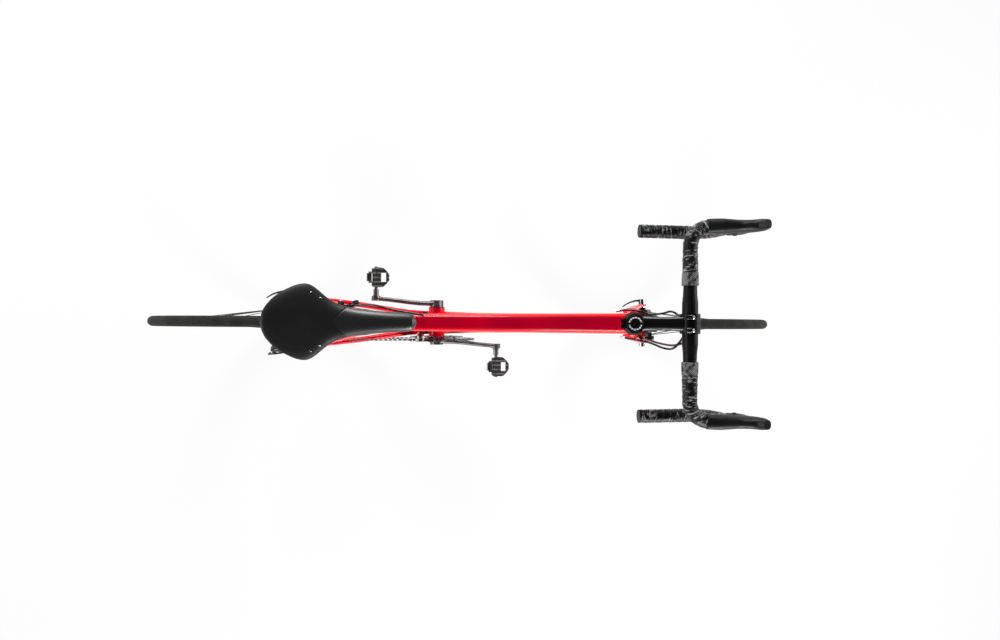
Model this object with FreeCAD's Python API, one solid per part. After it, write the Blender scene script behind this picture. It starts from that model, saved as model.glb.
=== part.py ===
import FreeCAD, Part
import math
import os

# Road racing bicycle with drop handlebar, caliper rim brakes and derailleur gears.
# Millimetres. +X is forwards, +Y is the rider's left, +Z is up. The origin is on the
# ground, midway between the two wheel axles. The drive side is the right side, at -Y.

Vector = FreeCAD.Vector
x_axis = Vector(1, 0, 0)
y_axis = Vector(0, 1, 0)
z_axis = Vector(0, 0, 1)

# ---- driving dimensions: wheels and frame geometry ----
wheelbase = 989.0
chainstay_length = 405.0
bottom_bracket_drop = 70.0
head_angle = 73.0
seat_angle = 73.5
fork_rake = 45.0
crown_height = 367.0            # from the foot of the steering axis to the crown race
bead_seat_diameter = 622.0
tyre_width = 25.0
running_gap = 0.05              # radial clearance of every turning fit
seat_gap = 0.3                  # gap left between pieces of different bodies that face each other

wheel_radius = bead_seat_diameter / 2 + tyre_width
rear_axle = Vector(-wheelbase / 2, 0, wheel_radius)
front_axle = Vector(wheelbase / 2, 0, wheel_radius)
bottom_bracket = Vector(
    rear_axle.x + math.sqrt(chainstay_length**2 - bottom_bracket_drop**2),
    0,
    wheel_radius - bottom_bracket_drop,
)
steer_up = Vector(-math.cos(math.radians(head_angle)), 0, math.sin(math.radians(head_angle)))
steer_forward = Vector(math.sin(math.radians(head_angle)), 0, math.cos(math.radians(head_angle)))
steer_foot = front_axle - steer_forward * fork_rake
seat_up = Vector(-math.cos(math.radians(seat_angle)), 0, math.sin(math.radians(seat_angle)))
seat_forward = Vector(math.sin(math.radians(seat_angle)), 0, math.cos(math.radians(seat_angle)))


# ---- helpers ----
def unit(vector):
    return vector * (1.0 / vector.Length)


def along_steering(height, forward=0.0, side=0.0):
    """A point on the steering axis, height above its foot, moved forwards and sideways."""
    return steer_foot + steer_up * height + steer_forward * forward + y_axis * side


def along_seat(height, forward=0.0, side=0.0):
    """A point on the seat tube's axis, height above the bottom bracket."""
    return bottom_bracket + seat_up * height + seat_forward * forward + y_axis * side


def moved_y(point, side):
    return Vector(point.x, side, point.z)


def rod(start, end, radius):
    return Part.makeCylinder(radius, (end - start).Length, start, end - start)


def pipe_between(start, end, outer, inner):
    return rod(start, end, outer).cut(rod(start, end, inner))


def cone_between(start, end, start_radius, end_radius):
    return Part.makeCone(start_radius, end_radius, (end - start).Length, start, end - start)


def fused(shapes):
    result = shapes[0]
    if len(shapes) > 1:
        result = result.fuse(shapes[1:])
    return result.removeSplitter()


def solids_of(shape):
    return list(shape.Solids)


def mirrored(shape):
    """The same piece on the other side of the bicycle."""
    return shape.mirror(Vector(0, 0, 0), y_axis)


def turned(shape, centre, axis, degrees):
    copy = shape.copy()
    copy.rotate(centre, axis, degrees)
    return copy


outline_points = 20


def outline(centre, along, width, depth, squareness=2.0):
    """Ring of points square to along: width sideways, depth in the upright plane."""
    along = unit(along)
    up = unit(along.cross(y_axis))
    side = up.cross(along)
    points = []
    for step in range(outline_points):
        angle = 2 * math.pi * step / outline_points
        across, above = math.cos(angle), math.sin(angle)
        sideways = math.copysign(abs(across) ** (2 / squareness), across) * width / 2
        upwards = math.copysign(abs(above) ** (2 / squareness), above) * depth / 2
        points.append(centre + side * sideways + up * upwards)
    return points


def ring_curve(points):
    curve = Part.BSplineCurve()
    curve.interpolate(Points=points, PeriodicFlag=True)
    return Part.Wire(curve.toShape())


def ring_centre(points):
    total = Vector(0, 0, 0)
    for point in points:
        total = total + point
    return total * (1.0 / len(points))


strip_length = 24.0
most_strips = 9


def loft(outlines):
    """Solid skinned through rings of points, smooth along its length, in short ruled strips."""
    gaps = [(ring_centre(b) - ring_centre(a)).Length for a, b in zip(outlines, outlines[1:])]
    slopes = []
    for place in range(len(outlines)):
        low, high = max(place - 1, 0), min(place + 1, len(outlines) - 1)
        span = sum(gaps[low:high])
        slopes.append([(b - a) * (1 / span) for a, b in zip(outlines[low], outlines[high])])
    rings = [outlines[0]]
    for place, gap in enumerate(gaps):
        strips = max(2, min(most_strips, round(gap / strip_length)))
        for step in range(1, strips):
            t = step / strips
            rings.append([
                a * (2 * t**3 - 3 * t**2 + 1) + from_a * gap * (t**3 - 2 * t**2 + t)
                + b * (3 * t**2 - 2 * t**3) + from_b * gap * (t**3 - t**2)
                for a, b, from_a, from_b in zip(
                    outlines[place], outlines[place + 1], slopes[place], slopes[place + 1])
            ])
        rings.append(outlines[place + 1])
    return Part.makeLoft([ring_curve(ring) for ring in rings], True, True)


def tube_loft(stations, wall, squareness=2.0, solid_length=0.0):
    """Hollow tube through stations of (centre, along, width, depth), solid for a length at its start."""
    outside = loft([outline(c, a, w, d, squareness) for c, a, w, d in stations])
    centre, along, width, depth = stations[0]
    hollow = [(centre + unit(along) * solid_length, along, width, depth)] + stations[1:]
    inside = loft([outline(c, a, w - 2 * wall, d - 2 * wall, squareness) for c, a, w, d in hollow])
    return outside, outside.cut(inside)


def polygon_face(points):
    return Part.Face(Part.makePolygon(points + [points[0]]))


def rounded_wire(points, share=0.45, radii=None):
    """Straight runs joined by tangent arcs, each as large as its two runs allow."""
    edges = []
    last = points[0]
    for place in range(1, len(points) - 1):
        before = points[place - 1] - points[place]
        after = points[place + 1] - points[place]
        turn = math.pi - before.getAngle(after)
        radius = share * min(before.Length, after.Length) / math.tan(turn / 2)
        if radii and radii[place - 1]:
            radius = radii[place - 1]
        reach = radius * math.tan(turn / 2)
        start = points[place] + unit(before) * reach
        end = points[place] + unit(after) * reach
        inward = unit(unit(before) + unit(after))
        middle = points[place] + inward * (radius / math.cos(turn / 2) - radius)
        if (start - last).Length > 1e-6:
            edges.append(Part.LineSegment(last, start).toShape())
        edges.append(Part.Arc(start, middle, end).toShape())
        last = end
    edges.append(Part.LineSegment(last, points[-1]).toShape())
    return Part.Wire(edges)


def swept(wire, radius):
    """Round bar of that radius along a path."""
    first = wire.Edges[0]
    start = first.valueAt(first.FirstParameter)
    ahead = first.tangentAt(first.FirstParameter)
    circle = Part.Wire(Part.makeCircle(radius, start, ahead))
    return wire.makePipeShell([circle], True, False)


def revolved(points, centre, axis, radial):
    """Turns a profile of (position along the axis, radius) about the axis through centre."""
    corners = [centre + axis * position + radial * radius for position, radius in points]
    return polygon_face(corners).revolve(centre, axis, 360)


def sideways_profile(points, centre):
    """Turned piece about a sideways axis: points are (side, radius)."""
    return revolved(points, centre, y_axis, z_axis)


def slab(points_xz, low_y, high_y):
    """Flat plate in the upright plane, from low_y to high_y."""
    corners = [Vector(px, low_y, pz) for px, pz in points_xz]
    return polygon_face(corners).extrude(Vector(0, high_y - low_y, 0))


# ================= FRAME =================
head_tube_length = 160.0
head_tube_radius = 22.5
head_tube_wall = 3.0
lower_stack = 6.0               # crown race and lower bearing cover
head_bottom = crown_height + lower_stack
head_top = head_bottom + head_tube_length
steerer_radius = 14.3

seat_tube_length = 530.0
seat_tube_radius = 15.9
seatpost_radius = 13.6
shell_radius = 23.0
shell_half_width = 43.0
shell_bore = 20.5
tube_wall = 2.0

top_tube_front_width = 43.4
top_tube_front_depth = 42.0
top_tube_rear_width = 36.0
top_tube_rear_depth = 30.0
top_tube_below_head_top = 27.0
top_tube_seat_height = 496.0    # along the seat tube
top_tube_solid_end = 30.0       # from the seat tube's axis, where the tube is a solid lug
down_tube_above_head_bottom = 50.0
down_tube_width = 50.0
down_tube_depth = 54.0
down_tube_top_depth = 50.0
down_tube_foot_width = 66.0
down_tube_foot_depth = 42.0

rear_spacing = 130.0
front_spacing = 100.0
dropout_thickness = 6.0
axle_end_radius = 5.0


def head_tube_solid():
    return rod(along_steering(head_bottom), along_steering(head_top), head_tube_radius)


def head_tube():
    """Head tube, flared at both ends where the bearings sit."""
    body = [head_tube_solid()]
    flare = 2.0
    flare_length = 12.0
    for end, towards in ((head_bottom, 1), (head_top, -1)):
        body.append(
            cone_between(
                along_steering(end),
                along_steering(end + towards * flare_length),
                head_tube_radius + flare,
                head_tube_radius,
            )
        )
    bore = rod(
        along_steering(head_bottom - 1), along_steering(head_top + 1),
        head_tube_radius - head_tube_wall,
    )
    return fused(body).cut(bore)


def seat_tube_outside():
    return rod(along_seat(0), along_seat(seat_tube_length), seat_tube_radius)


def bottom_bracket_outside():
    return rod(
        moved_y(bottom_bracket, -shell_half_width), moved_y(bottom_bracket, shell_half_width), shell_radius
    )


def bottom_bracket_shell():
    bore = rod(
        moved_y(bottom_bracket, -shell_half_width - 1),
        moved_y(bottom_bracket, shell_half_width + 1), shell_bore
    )
    return bottom_bracket_outside().cut(bore)


boss_bolt_radius = 2.5
boss_sleeve_radius = 3.5
boss_flange_radius = 5.5
boss_spacing = 64.0
boss_stand = 1.5                # how far a boss stands off its tube
boss_depth = 9.0
seat_boss_height = 190.0
down_boss_height = 235.0        # from the bottom bracket, along the down tube


def down_tube_line():
    top = along_steering(head_bottom + down_tube_above_head_bottom)
    return bottom_bracket, top


def boss_places():
    """Centre on the tube's skin and outward direction of each bottle cage boss."""
    foot, top = down_tube_line()
    run = unit(top - foot)
    out = unit(Vector(-run.z, 0, run.x))
    places = []
    for step in (-0.5, 0.5):
        places.append((foot + run * (down_boss_height + step * boss_spacing) + out * down_tube_skin, out))
        height = seat_boss_height + step * boss_spacing
        places.append((along_seat(height, seat_tube_radius), seat_forward))
    return places


down_tube_skin = down_tube_depth / 2


def boss_outside(place, out):
    """Insert in the tube's wall with a wider flange on its skin."""
    return fused([
        rod(place - out * boss_depth, place + out * boss_stand, boss_sleeve_radius),
        rod(place, place + out * boss_stand, boss_flange_radius),
    ])


def boss_holes():
    return Part.makeCompound([boss_outside(place, out) for place, out in boss_places()])


def seat_tube():
    outside = seat_tube_outside()
    bore = rod(along_seat(-1), along_seat(seat_tube_length + 1), seatpost_radius + running_gap)
    slot = Part.makeBox(seat_tube_radius * 2, 2.5, 32)
    slot.translate(Vector(-seat_tube_radius * 2, -1.25, 0))
    slot.rotate(Vector(0, 0, 0), y_axis, -(90 - seat_angle))
    slot.translate(along_seat(seat_tube_length - 30))
    return outside.cut(bore).cut(bottom_bracket_outside()).cut(slot).cut(boss_holes())


def top_tube_ends():
    front = along_steering(head_top - top_tube_below_head_top)
    rear = along_seat(top_tube_seat_height)
    return front, rear


def top_tube():
    """Tapered tube with a softly squared section, mitred to the head tube and seat tube."""
    front, rear = top_tube_ends()
    along = unit(front - rear)
    middle = rear + (front - rear) * 0.5
    stations = [
        (rear, along, top_tube_rear_width, top_tube_rear_depth),
        (middle, along, (top_tube_rear_width + top_tube_front_width) / 2 - 1.5, 36.0),
        (front, along, top_tube_front_width, top_tube_front_depth),
    ]
    return tube_loft(stations, tube_wall, 2.9, top_tube_solid_end)


def down_tube():
    foot, top = down_tube_line()
    along = unit(top - foot)
    stations = [
        (foot, along, down_tube_foot_width, down_tube_foot_depth),
        (foot + (top - foot) * 0.3, along, down_tube_width + 3, down_tube_depth),
        (top, along, down_tube_width - 3, down_tube_top_depth),
    ]
    return tube_loft(stations, tube_wall, 2.4)[1]


chainstay_front_side = 25.0
chainstay_rear_side = 68.5
seatstay_top_height = 484.0
seatstay_top_side = 12.5
seatstay_bridge_side = 29.0
seatstay_end_side = 69.5
bridge_radius_from_axle = 354.0     # brake bolt's distance from the rear axle
stay_foot = 20.0                    # where the seatstays meet the dropouts, above the axle
dropout_front = 28.0


def chainstay_outside():
    """Left chainstay, from the bottom bracket shell to the dropout's front edge."""
    front = Vector(bottom_bracket.x - 8, chainstay_front_side - 1, bottom_bracket.z)
    rear = Vector(rear_axle.x + dropout_front, chainstay_rear_side, rear_axle.z - 5.6)
    run = rear - front
    rings = []
    for share, width, depth, bow in ((0, 17, 34, 0), (0.2, 15, 31, -4), (0.6, 15, 24, -0.5)):
        rings.append(outline(front + run * share + y_axis * bow, run, width, depth, 2.3))
    rings.append(outline(rear, x_axis * -1, 8, 15, 2.3))
    return loft(rings)


def seatstay_points():
    top = along_seat(seatstay_top_height, -4, seatstay_top_side)
    foot = Vector(rear_axle.x + 9, seatstay_end_side, rear_axle.z + stay_foot)
    bridge = bridge_point()
    return top, Vector(bridge.x, seatstay_bridge_side, bridge.z), foot


def bridge_point():
    """Centre of the brake bridge, on the line of the seatstays."""
    top = along_seat(seatstay_top_height, -4)
    foot = Vector(rear_axle.x + 9, 0, rear_axle.z + stay_foot)
    line = unit(top - foot)
    reach = foot - rear_axle
    reach.y = 0
    along = -reach.dot(line) + math.sqrt(
        reach.dot(line) ** 2 - reach.dot(reach) + bridge_radius_from_axle**2
    )
    return foot + line * along


def seatstay_outside():
    """Left seatstay, bowed outwards round the wheel."""
    top, bridge, foot = seatstay_points()
    middle = bridge + (foot - bridge) * 0.42 + y_axis * 3.5
    stations = []
    for point, along, width, depth in (
        (top, top - bridge, 14, 19),
        (bridge, top - middle, 13, 17),
        (middle, bridge - foot, 12, 15),
        (foot, middle - foot, 9, 13),
    ):
        stations.append(outline(point, along, width, depth))
    return loft(stations)


hanger_drop = 29.0
hanger_back = 9.0
hanger_bolt_radius = 5.0
slot_length = 30.0


def dropout_slab(low, high):
    """The rear dropout's outline as a slab across the bicycle."""
    ax, az = rear_axle.x, rear_axle.z
    outline_xz = [
        (ax - 11, az - 12), (ax - 13, az + 4), (ax - 6, az + 13), (ax + 0, az + 27),
        (ax + 17, az + 27), (ax + 16, az + 13), (ax + dropout_front, az + 4), (ax + dropout_front, az - 15),
        (ax + 14, az - 14), (ax + 9, az - 16),
    ]
    return slab(outline_xz, low, high)


def dropout_plate():
    """Left rear dropout with its axle slot, which the stays butt against."""
    low = rear_spacing / 2
    plate = dropout_slab(low, low + dropout_thickness)
    slot_half = axle_end_radius + running_gap
    start = moved_y(rear_axle, low - 1)
    slot = rod(start, start + y_axis * (dropout_thickness + 2), slot_half)
    mouth = Part.makeBox(slot_half * 2, dropout_thickness + 2, slot_length)
    mouth.translate(Vector(rear_axle.x - slot_half, low - 1, rear_axle.z - slot_length))
    return plate.cut(slot.fuse(mouth))


def derailleur_hanger():
    """Hanger tab below the right dropout, with the derailleur's threaded hole."""
    ax, az = rear_axle.x, rear_axle.z
    hx, hz = hanger_point().x, hanger_point().z
    low = -rear_spacing / 2 - dropout_thickness
    high = -rear_spacing / 2
    tab = slab(
        [(ax - 11, az - 12), (ax - 13, az - 2), (ax - 5.4, az - 2), (ax - 5.4, az - 14),
         (hx + 8, hz + 3), (hx + 6, hz - 6), (hx - 6, hz - 6), (hx - 8, hz + 2)],
        low, high,
    )
    eye = rod(Vector(hx, low, hz), Vector(hx, high, hz), 9.0)
    hole = rod(Vector(hx, low - 1, hz), Vector(hx, high + 1, hz), hanger_bolt_radius)
    slot = rod(moved_y(rear_axle, low - 1), moved_y(rear_axle, high + 1), axle_end_radius + running_gap)
    return tab.fuse(eye).cut(hole).cut(slot)


def hanger_point():
    return Vector(rear_axle.x - hanger_back, -rear_spacing / 2 - dropout_thickness, rear_axle.z - hanger_drop)


def build_frame():
    seat_solid = seat_tube_outside()
    shell_solid = bottom_bracket_outside()
    top_outside, top_hollow = top_tube()
    head = head_tube()
    head_filled = head.fuse(rod(along_steering(head_bottom), along_steering(head_top), head_tube_radius))
    seat = seat_tube()
    left_dropout = dropout_plate()
    right_dropout = fused([mirrored(left_dropout), derailleur_hanger()])
    stay_ends = dropout_slab(rear_spacing / 2 - 20, rear_spacing / 2 + 20)

    top = top_hollow.cut(head_filled).cut(seat_solid)
    down = down_tube().cut(head_filled).cut(shell_solid).cut(seat_solid).cut(boss_holes())
    chain_left = largest(chainstay_outside().cut(shell_solid))
    tyre_room = sideways_profile(
        [(-tyre_width / 2 - 5, wheel_radius - 60), (tyre_width / 2 + 5, wheel_radius - 60),
         (tyre_width / 2 + 5, wheel_radius + 5), (-tyre_width / 2 - 5, wheel_radius + 5)],
        rear_axle,
    )
    stay_left = largest(seatstay_outside().cut(seat_solid).cut(stay_ends).cut(top_outside).cut(tyre_room))
    bridge = bridge_point()
    bridge_bar = rod(moved_y(bridge, -seatstay_bridge_side), moved_y(bridge, seatstay_bridge_side), 7.5)
    bridge_bar = bridge_bar.cut(stay_left).cut(mirrored(stay_left))
    bridge_bar = largest(bridge_bar)
    along = bridge_forward()
    bolt_hole = rod(bridge - along * 20, bridge + along * 20, brake_bolt_radius)
    bridge_bar = bridge_bar.cut(bolt_hole)
    return {
        "head_tube": [head],
        "top_tube": [largest(top)],
        "down_tube": [largest(down)],
        "seat_tube": [largest(seat)],
        "bottom_bracket_shell": [bottom_bracket_shell()],
        "chainstays": [chain_left, mirrored(chain_left), left_dropout, right_dropout],
        "seatstays": [stay_left, mirrored(stay_left), bridge_bar],
    }


def largest(shape):
    return max(shape.Solids, key=lambda solid: solid.Volume)


# ---- bearings ----
def bearing_cups():
    """Headset bearings in the head tube and the pressed bottom bracket cups."""
    bearing_depth = 9.0
    seam_turn = 30.0             # degrees that turn a bearing's seam away from the steerer's
    cups = []
    for end, towards in ((head_bottom, 1), (head_top, -1)):
        bearing = pipe_between(
            along_steering(end), along_steering(end + towards * bearing_depth),
            head_tube_radius - head_tube_wall, steerer_radius + running_gap,
        )
        bearing.rotate(along_steering(end), steer_up, seam_turn)
        cups.append(bearing)
    flange = 2.0
    for side in (-1, 1):
        outer_face = shell_half_width + flange
        cups.append(
            fused([
                pipe_between(
                    moved_y(bottom_bracket, side * (shell_half_width - 12)),
                    moved_y(bottom_bracket, side * outer_face), shell_bore, spindle_radius + running_gap,
                ),
                pipe_between(
                    moved_y(bottom_bracket, side * shell_half_width),
                    moved_y(bottom_bracket, side * outer_face), shell_radius - 0.5,
                    spindle_radius + running_gap,
                ),
            ])
        )
    return cups


spindle_radius = 12.0
brake_bolt_radius = 3.0


def bridge_forward():
    """Direction of the rear brake's bolt: forwards, square to the seatstays."""
    top, bridge, foot = seatstay_points()
    line = top - foot
    line.y = 0
    line = unit(line)
    return Vector(line.z, 0, -line.x)


# ================= WHEELS =================
rim_outer_half = 10.3
rim_inner_half = 7.5
rim_depth = 26.0
rim_wall = 1.5
track_step = 0.6                # the brake track stands this proud of the rim below it
brake_track_height = 10.0
spoke_radius = 1.0
nipple_radius = 2.1
nipple_length = 12.0
bead_radius = bead_seat_diameter / 2
rim_edge = bead_radius + 2.4
rim_nose = rim_edge - rim_depth
valve_radius = 3.0
valve_length = 42.0


def ring_of(points, centre):
    """Closed ring turned about a wheel's axle from edges through (side, radius) points."""
    return Part.Face(Part.Wire(points)).revolve(centre, y_axis, 360)


def wheel_point(centre, side, radius):
    return Vector(centre.x, side, centre.z + radius)


def tyre(centre):
    """Tyre casing with its two beads, open towards the rim."""
    middle = bead_radius + tyre_width / 2
    outer = tyre_width / 2
    inner = outer - 1.9
    bead_out = rim_inner_half - 0.1
    bead_in = bead_out - 1.9
    bead_foot = bead_radius - 0.4

    def point(side, radius):
        return wheel_point(centre, side, radius)

    outer_start = middle - math.sqrt(outer**2 - bead_out**2)
    inner_start = middle - math.sqrt(inner**2 - bead_in**2)
    edges = [
        Part.Arc(
            point(-bead_out, outer_start), point(0, middle + outer), point(bead_out, outer_start),
        ).toShape(),
        Part.LineSegment(point(bead_out, outer_start), point(bead_out, bead_foot)).toShape(),
        Part.LineSegment(point(bead_out, bead_foot), point(bead_in, bead_foot)).toShape(),
        Part.LineSegment(point(bead_in, bead_foot), point(bead_in, inner_start)).toShape(),
        Part.Arc(
            point(bead_in, inner_start), point(0, middle + inner), point(-bead_in, inner_start),
        ).toShape(),
        Part.LineSegment(point(-bead_in, inner_start), point(-bead_in, bead_foot)).toShape(),
        Part.LineSegment(point(-bead_in, bead_foot), point(-bead_out, bead_foot)).toShape(),
        Part.LineSegment(point(-bead_out, bead_foot), point(-bead_out, outer_start)).toShape(),
    ]
    return ring_of(edges, centre)


def valve(centre):
    """Valve stem pointing from the rim's bed towards the hub, with its collar nut."""
    bed = rim_bed()
    foot = Vector(centre.x, 0, centre.z - bed)
    tip = Vector(centre.x, 0, centre.z - bed + valve_length)
    nut_low = centre.z - rim_nose
    nut = rod(Vector(centre.x, 0, nut_low), Vector(centre.x, 0, nut_low + 3), valve_radius + 2)
    cap = rod(tip, tip + z_axis * 9, valve_radius + 0.8)
    return fused([rod(foot, tip, valve_radius), nut, cap])


def rim_bed():
    return bead_radius - 0.9


def rim(centre):
    """Hollow aluminium clincher rim with brake tracks and a rounded spoke bed."""
    bed = rim_bed()
    track_low = rim_edge - brake_track_height
    shoulder = rim_nose + 5.5
    nose_half = 6.2

    def point(side, radius):
        return wheel_point(centre, side, radius)

    def side_edges(sign):
        corners = [
            (rim_inner_half, bed), (rim_inner_half, rim_edge), (rim_outer_half, rim_edge),
            (rim_outer_half, track_low), (rim_outer_half - track_step, track_low - 1), (nose_half, shoulder),
        ]
        places = [point(sign * across, radius) for across, radius in corners]
        return [Part.LineSegment(start, end).toShape() for start, end in zip(places, places[1:])]

    nose = Part.Arc(point(-nose_half, shoulder), point(0, rim_nose), point(nose_half, shoulder)).toShape()
    bed_edge = Part.LineSegment(point(-rim_inner_half, bed), point(rim_inner_half, bed)).toShape()
    outside = Part.Wire(Part.__sortEdges__([bed_edge] + side_edges(1) + side_edges(-1) + [nose]))
    body = Part.Face(outside).revolve(centre, y_axis, 360)
    cavity_half = rim_outer_half - track_step - rim_wall
    low_half = nose_half - rim_wall
    cavity = sideways_profile(
        [(-cavity_half, bed - rim_wall), (cavity_half, bed - rim_wall), (cavity_half, track_low),
         (low_half, shoulder), (low_half - 2, rim_nose + rim_wall + 1.5),
         (2 - low_half, rim_nose + rim_wall + 1.5), (-low_half, shoulder), (-cavity_half, track_low)],
        centre,
    )
    valve_hole = rod(
        Vector(centre.x, 0, centre.z - bed - 1), Vector(centre.x, 0, centre.z - rim_nose + 5),
        valve_radius + 0.3
    )
    return body.cut(cavity).cut(valve_hole)


def spoke(centre, angle, flange_side, flange_radius, lead):
    """One spoke with its nipple. lead is the angle, seen along the axle, from rim end to hub end."""
    rim_angle = math.radians(angle)
    hub_angle = math.radians(angle + lead)
    rim_side = math.copysign(1.2, flange_side)
    to_rim = Vector(math.sin(rim_angle), 0, math.cos(rim_angle))
    to_hub = Vector(math.sin(hub_angle), 0, math.cos(hub_angle))
    outer = centre + to_rim * rim_nose + y_axis * rim_side
    inner = centre + to_hub * flange_radius + y_axis * flange_side
    run = unit(outer - inner)
    return fused([
        rod(inner, outer, spoke_radius),
        rod(outer - run * nipple_length, outer + run * 0.6, nipple_radius),
    ])


front_flange_radius = 19.0
front_flange_side = 33.0
front_flange_width = 5.0
front_spokes_per_side = 10
rear_flange_radius = 24.0
rear_left_flange_side = 35.0
rear_right_flange_side = -18.5
rear_spokes_per_side = 12
hub_barrel_radius = 10.0
axle_radius = 5.0
freehub_start = 23.0
freehub_radius = 17.0


def front_hub():
    half = front_spacing / 2 - 4
    flange_in = front_flange_side - front_flange_width / 2
    flange_out = front_flange_side + front_flange_width / 2
    profile = [
        (-half, axle_radius + running_gap), (-half, 9.5), (-flange_out - 2, 12),
        (-flange_out, front_flange_radius),
        (-flange_in, front_flange_radius), (-flange_in + 4, hub_barrel_radius + 1), (0, hub_barrel_radius),
        (flange_in - 4, hub_barrel_radius + 1), (flange_in, front_flange_radius),
        (flange_out, front_flange_radius),
        (flange_out + 2, 12), (half, 9.5), (half, axle_radius + running_gap),
    ]
    return sideways_profile(profile, front_axle)


def rear_hub():
    left_end = rear_spacing / 2 - 5
    right_end = -freehub_start + seat_gap
    left_in, left_out = rear_left_flange_side - 2.5, rear_left_flange_side + 2.5
    right_in, right_out = rear_right_flange_side + 2.5, rear_right_flange_side - 2.5
    profile = [
        (left_end, axle_radius + running_gap), (left_end, 11), (left_out + 6, 13),
        (left_out, rear_flange_radius - 4),
        (left_in, rear_flange_radius - 4), (left_in - 5, hub_barrel_radius + 3), (5, hub_barrel_radius + 2),
        (right_in + 4, hub_barrel_radius + 4), (right_in, rear_flange_radius),
        (right_out, rear_flange_radius),
        (right_end, freehub_radius + 2), (right_end, axle_radius + running_gap),
    ]
    return sideways_profile(profile, rear_axle)


def front_spokes():
    """Radial straight-pull spokes, left and right flange in turn round the wheel."""
    step = 180.0 / front_spokes_per_side
    made = []
    for place in range(2 * front_spokes_per_side):
        side = front_flange_side if place % 2 else -front_flange_side
        made.append(spoke(front_axle, (place + 0.5) * step, side, front_flange_radius, 0))
    return made


def rear_spokes():
    """Left side radial, drive side crossed in leading and trailing pairs."""
    step = 180.0 / rear_spokes_per_side
    made = []
    for place in range(2 * rear_spokes_per_side):
        angle = (place + 0.5) * step
        if place % 2:
            made.append(spoke(rear_axle, angle, rear_left_flange_side, rear_flange_radius - 4, 0))
            continue
        trailing = (place // 2) % 2
        lead = 62.0 if trailing else -62.0
        offset = 1.6 if trailing else -1.6
        made.append(spoke(rear_axle, angle, rear_right_flange_side + offset, rear_flange_radius, lead))
    return made


def cut_ends(pieces, tools):
    """Each piece less its neighbours, so that it seats on their faces."""
    made = []
    for piece in pieces:
        for tool in tools:
            piece = piece.cut(tool)
        made.append(largest(piece))
    return made


def build_wheels():
    front_rim = rim(front_axle)
    rear_rim = rim(rear_axle)
    front_hub_shell = front_hub()
    rear_hub_shell = rear_hub()
    return {
        "front_tyre": [tyre(front_axle), valve(front_axle)],
        "front_rim": [front_rim],
        "front_spokes": cut_ends(front_spokes(), [front_rim, front_hub_shell]),
        "front_hub": [front_hub_shell],
        "rear_tyre": [tyre(rear_axle), valve(rear_axle)],
        "rear_rim": [rear_rim],
        "rear_spokes": cut_ends(rear_spokes(), [rear_rim, rear_hub_shell]),
        "rear_hub": [rear_hub_shell],
    }


# ================= FORK, HEADSET AND STEM =================
crown_underside = 341.0
crown_side_depth = 36.0
crown_race_radius = 24.5
fork_blade_side = 28.0
brake_bolt_height = 350.5
steerer_wall = 2.3
upper_cover_height = 12.0
spacer_height = 5.0
spacer_count = 3
stem_clamp_height = 40.0
stem_clamp_radius = 19.5
stem_length = 110.0
stem_drop_angle = 6.0           # below square to the steerer
bar_clamp_radius = 15.9
bar_clamp_shell = 4.4
bar_clamp_half_width = 20.0
stem_split_gap = 1.0
cap_height = 4.0

cover_start = head_top + seat_gap
spacer_start = head_top + upper_cover_height
stem_start = spacer_start + spacer_height * spacer_count
steerer_top = stem_start + stem_clamp_height
stem_base = along_steering(stem_start + stem_clamp_height / 2)
stem_angle = math.radians(90 - head_angle - stem_drop_angle)
stem_forward = Vector(math.cos(stem_angle), 0, math.sin(stem_angle))
stem_up = Vector(-math.sin(stem_angle), 0, math.cos(stem_angle))
bar_centre = stem_base + stem_forward * stem_length


def fork_blade():
    """Left fork blade, tapering and raked forwards to the wheel's axle."""
    stations = []
    for height, forward, side, width, depth in (
        (352, 0, fork_blade_side, 18, crown_side_depth),
        (250, 5, fork_blade_side + 5, 16.5, 33),
        (120, 21, fork_blade_side + 14.5, 13, 23),
        (9, fork_rake - 2.5, (front_spacing + dropout_thickness) / 2, dropout_thickness - 0.1, 13),
    ):
        stations.append((along_steering(height, forward, side), width, depth))
    wires = []
    for place, (centre, width, depth) in enumerate(stations):
        above = stations[max(place - 1, 0)][0]
        below = stations[min(place + 1, len(stations) - 1)][0]
        wires.append(outline(centre, below - above, width, depth, 2.2))
    return loft(wires)


def fork():
    """Carbon fork in one piece: steerer, crown, two blades and the axle tips."""
    crown = loft([
        outline(along_steering(crown_underside), steer_up, 2 * fork_blade_side + 20, 38, 2.6),
        outline(along_steering(crown_underside + 16), steer_up, 2 * fork_blade_side + 15, 43, 2.4),
        outline(along_steering(crown_height), steer_up, 2 * crown_race_radius, 2 * crown_race_radius),
    ])
    blade = fork_blade()
    low = front_spacing / 2
    high = low + dropout_thickness
    tip = rod(moved_y(front_axle, low), moved_y(front_axle, high), 11.0)
    blade = blade.fuse(tip)
    steerer = rod(along_steering(crown_height - 8), along_steering(steerer_top), steerer_radius)
    whole = crown.fuse(steerer).fuse([blade, mirrored(blade)])
    bore = rod(
        along_steering(crown_underside - 20), along_steering(steerer_top + 1),
        steerer_radius - steerer_wall,
    )
    bolt = rod(
        along_steering(brake_bolt_height, -40), along_steering(brake_bolt_height, 40),
        brake_bolt_radius,
    )
    whole = whole.cut(bore).cut(bolt)
    for side in (-1, 1):
        inner = moved_y(front_axle, side * (low - 8))
        beyond = moved_y(front_axle, side * (high + 6))
        slot = rod(inner, beyond, axle_end_radius + running_gap)
        mouth = Part.makeBox(2 * (axle_end_radius + running_gap), 30, 30)
        mouth_front = front_axle.x - axle_end_radius - running_gap
        mouth.translate(Vector(mouth_front, side * low - 15, front_axle.z - 30))
        whole = whole.cut(slot).cut(mouth)
    return [largest(whole)]


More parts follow.
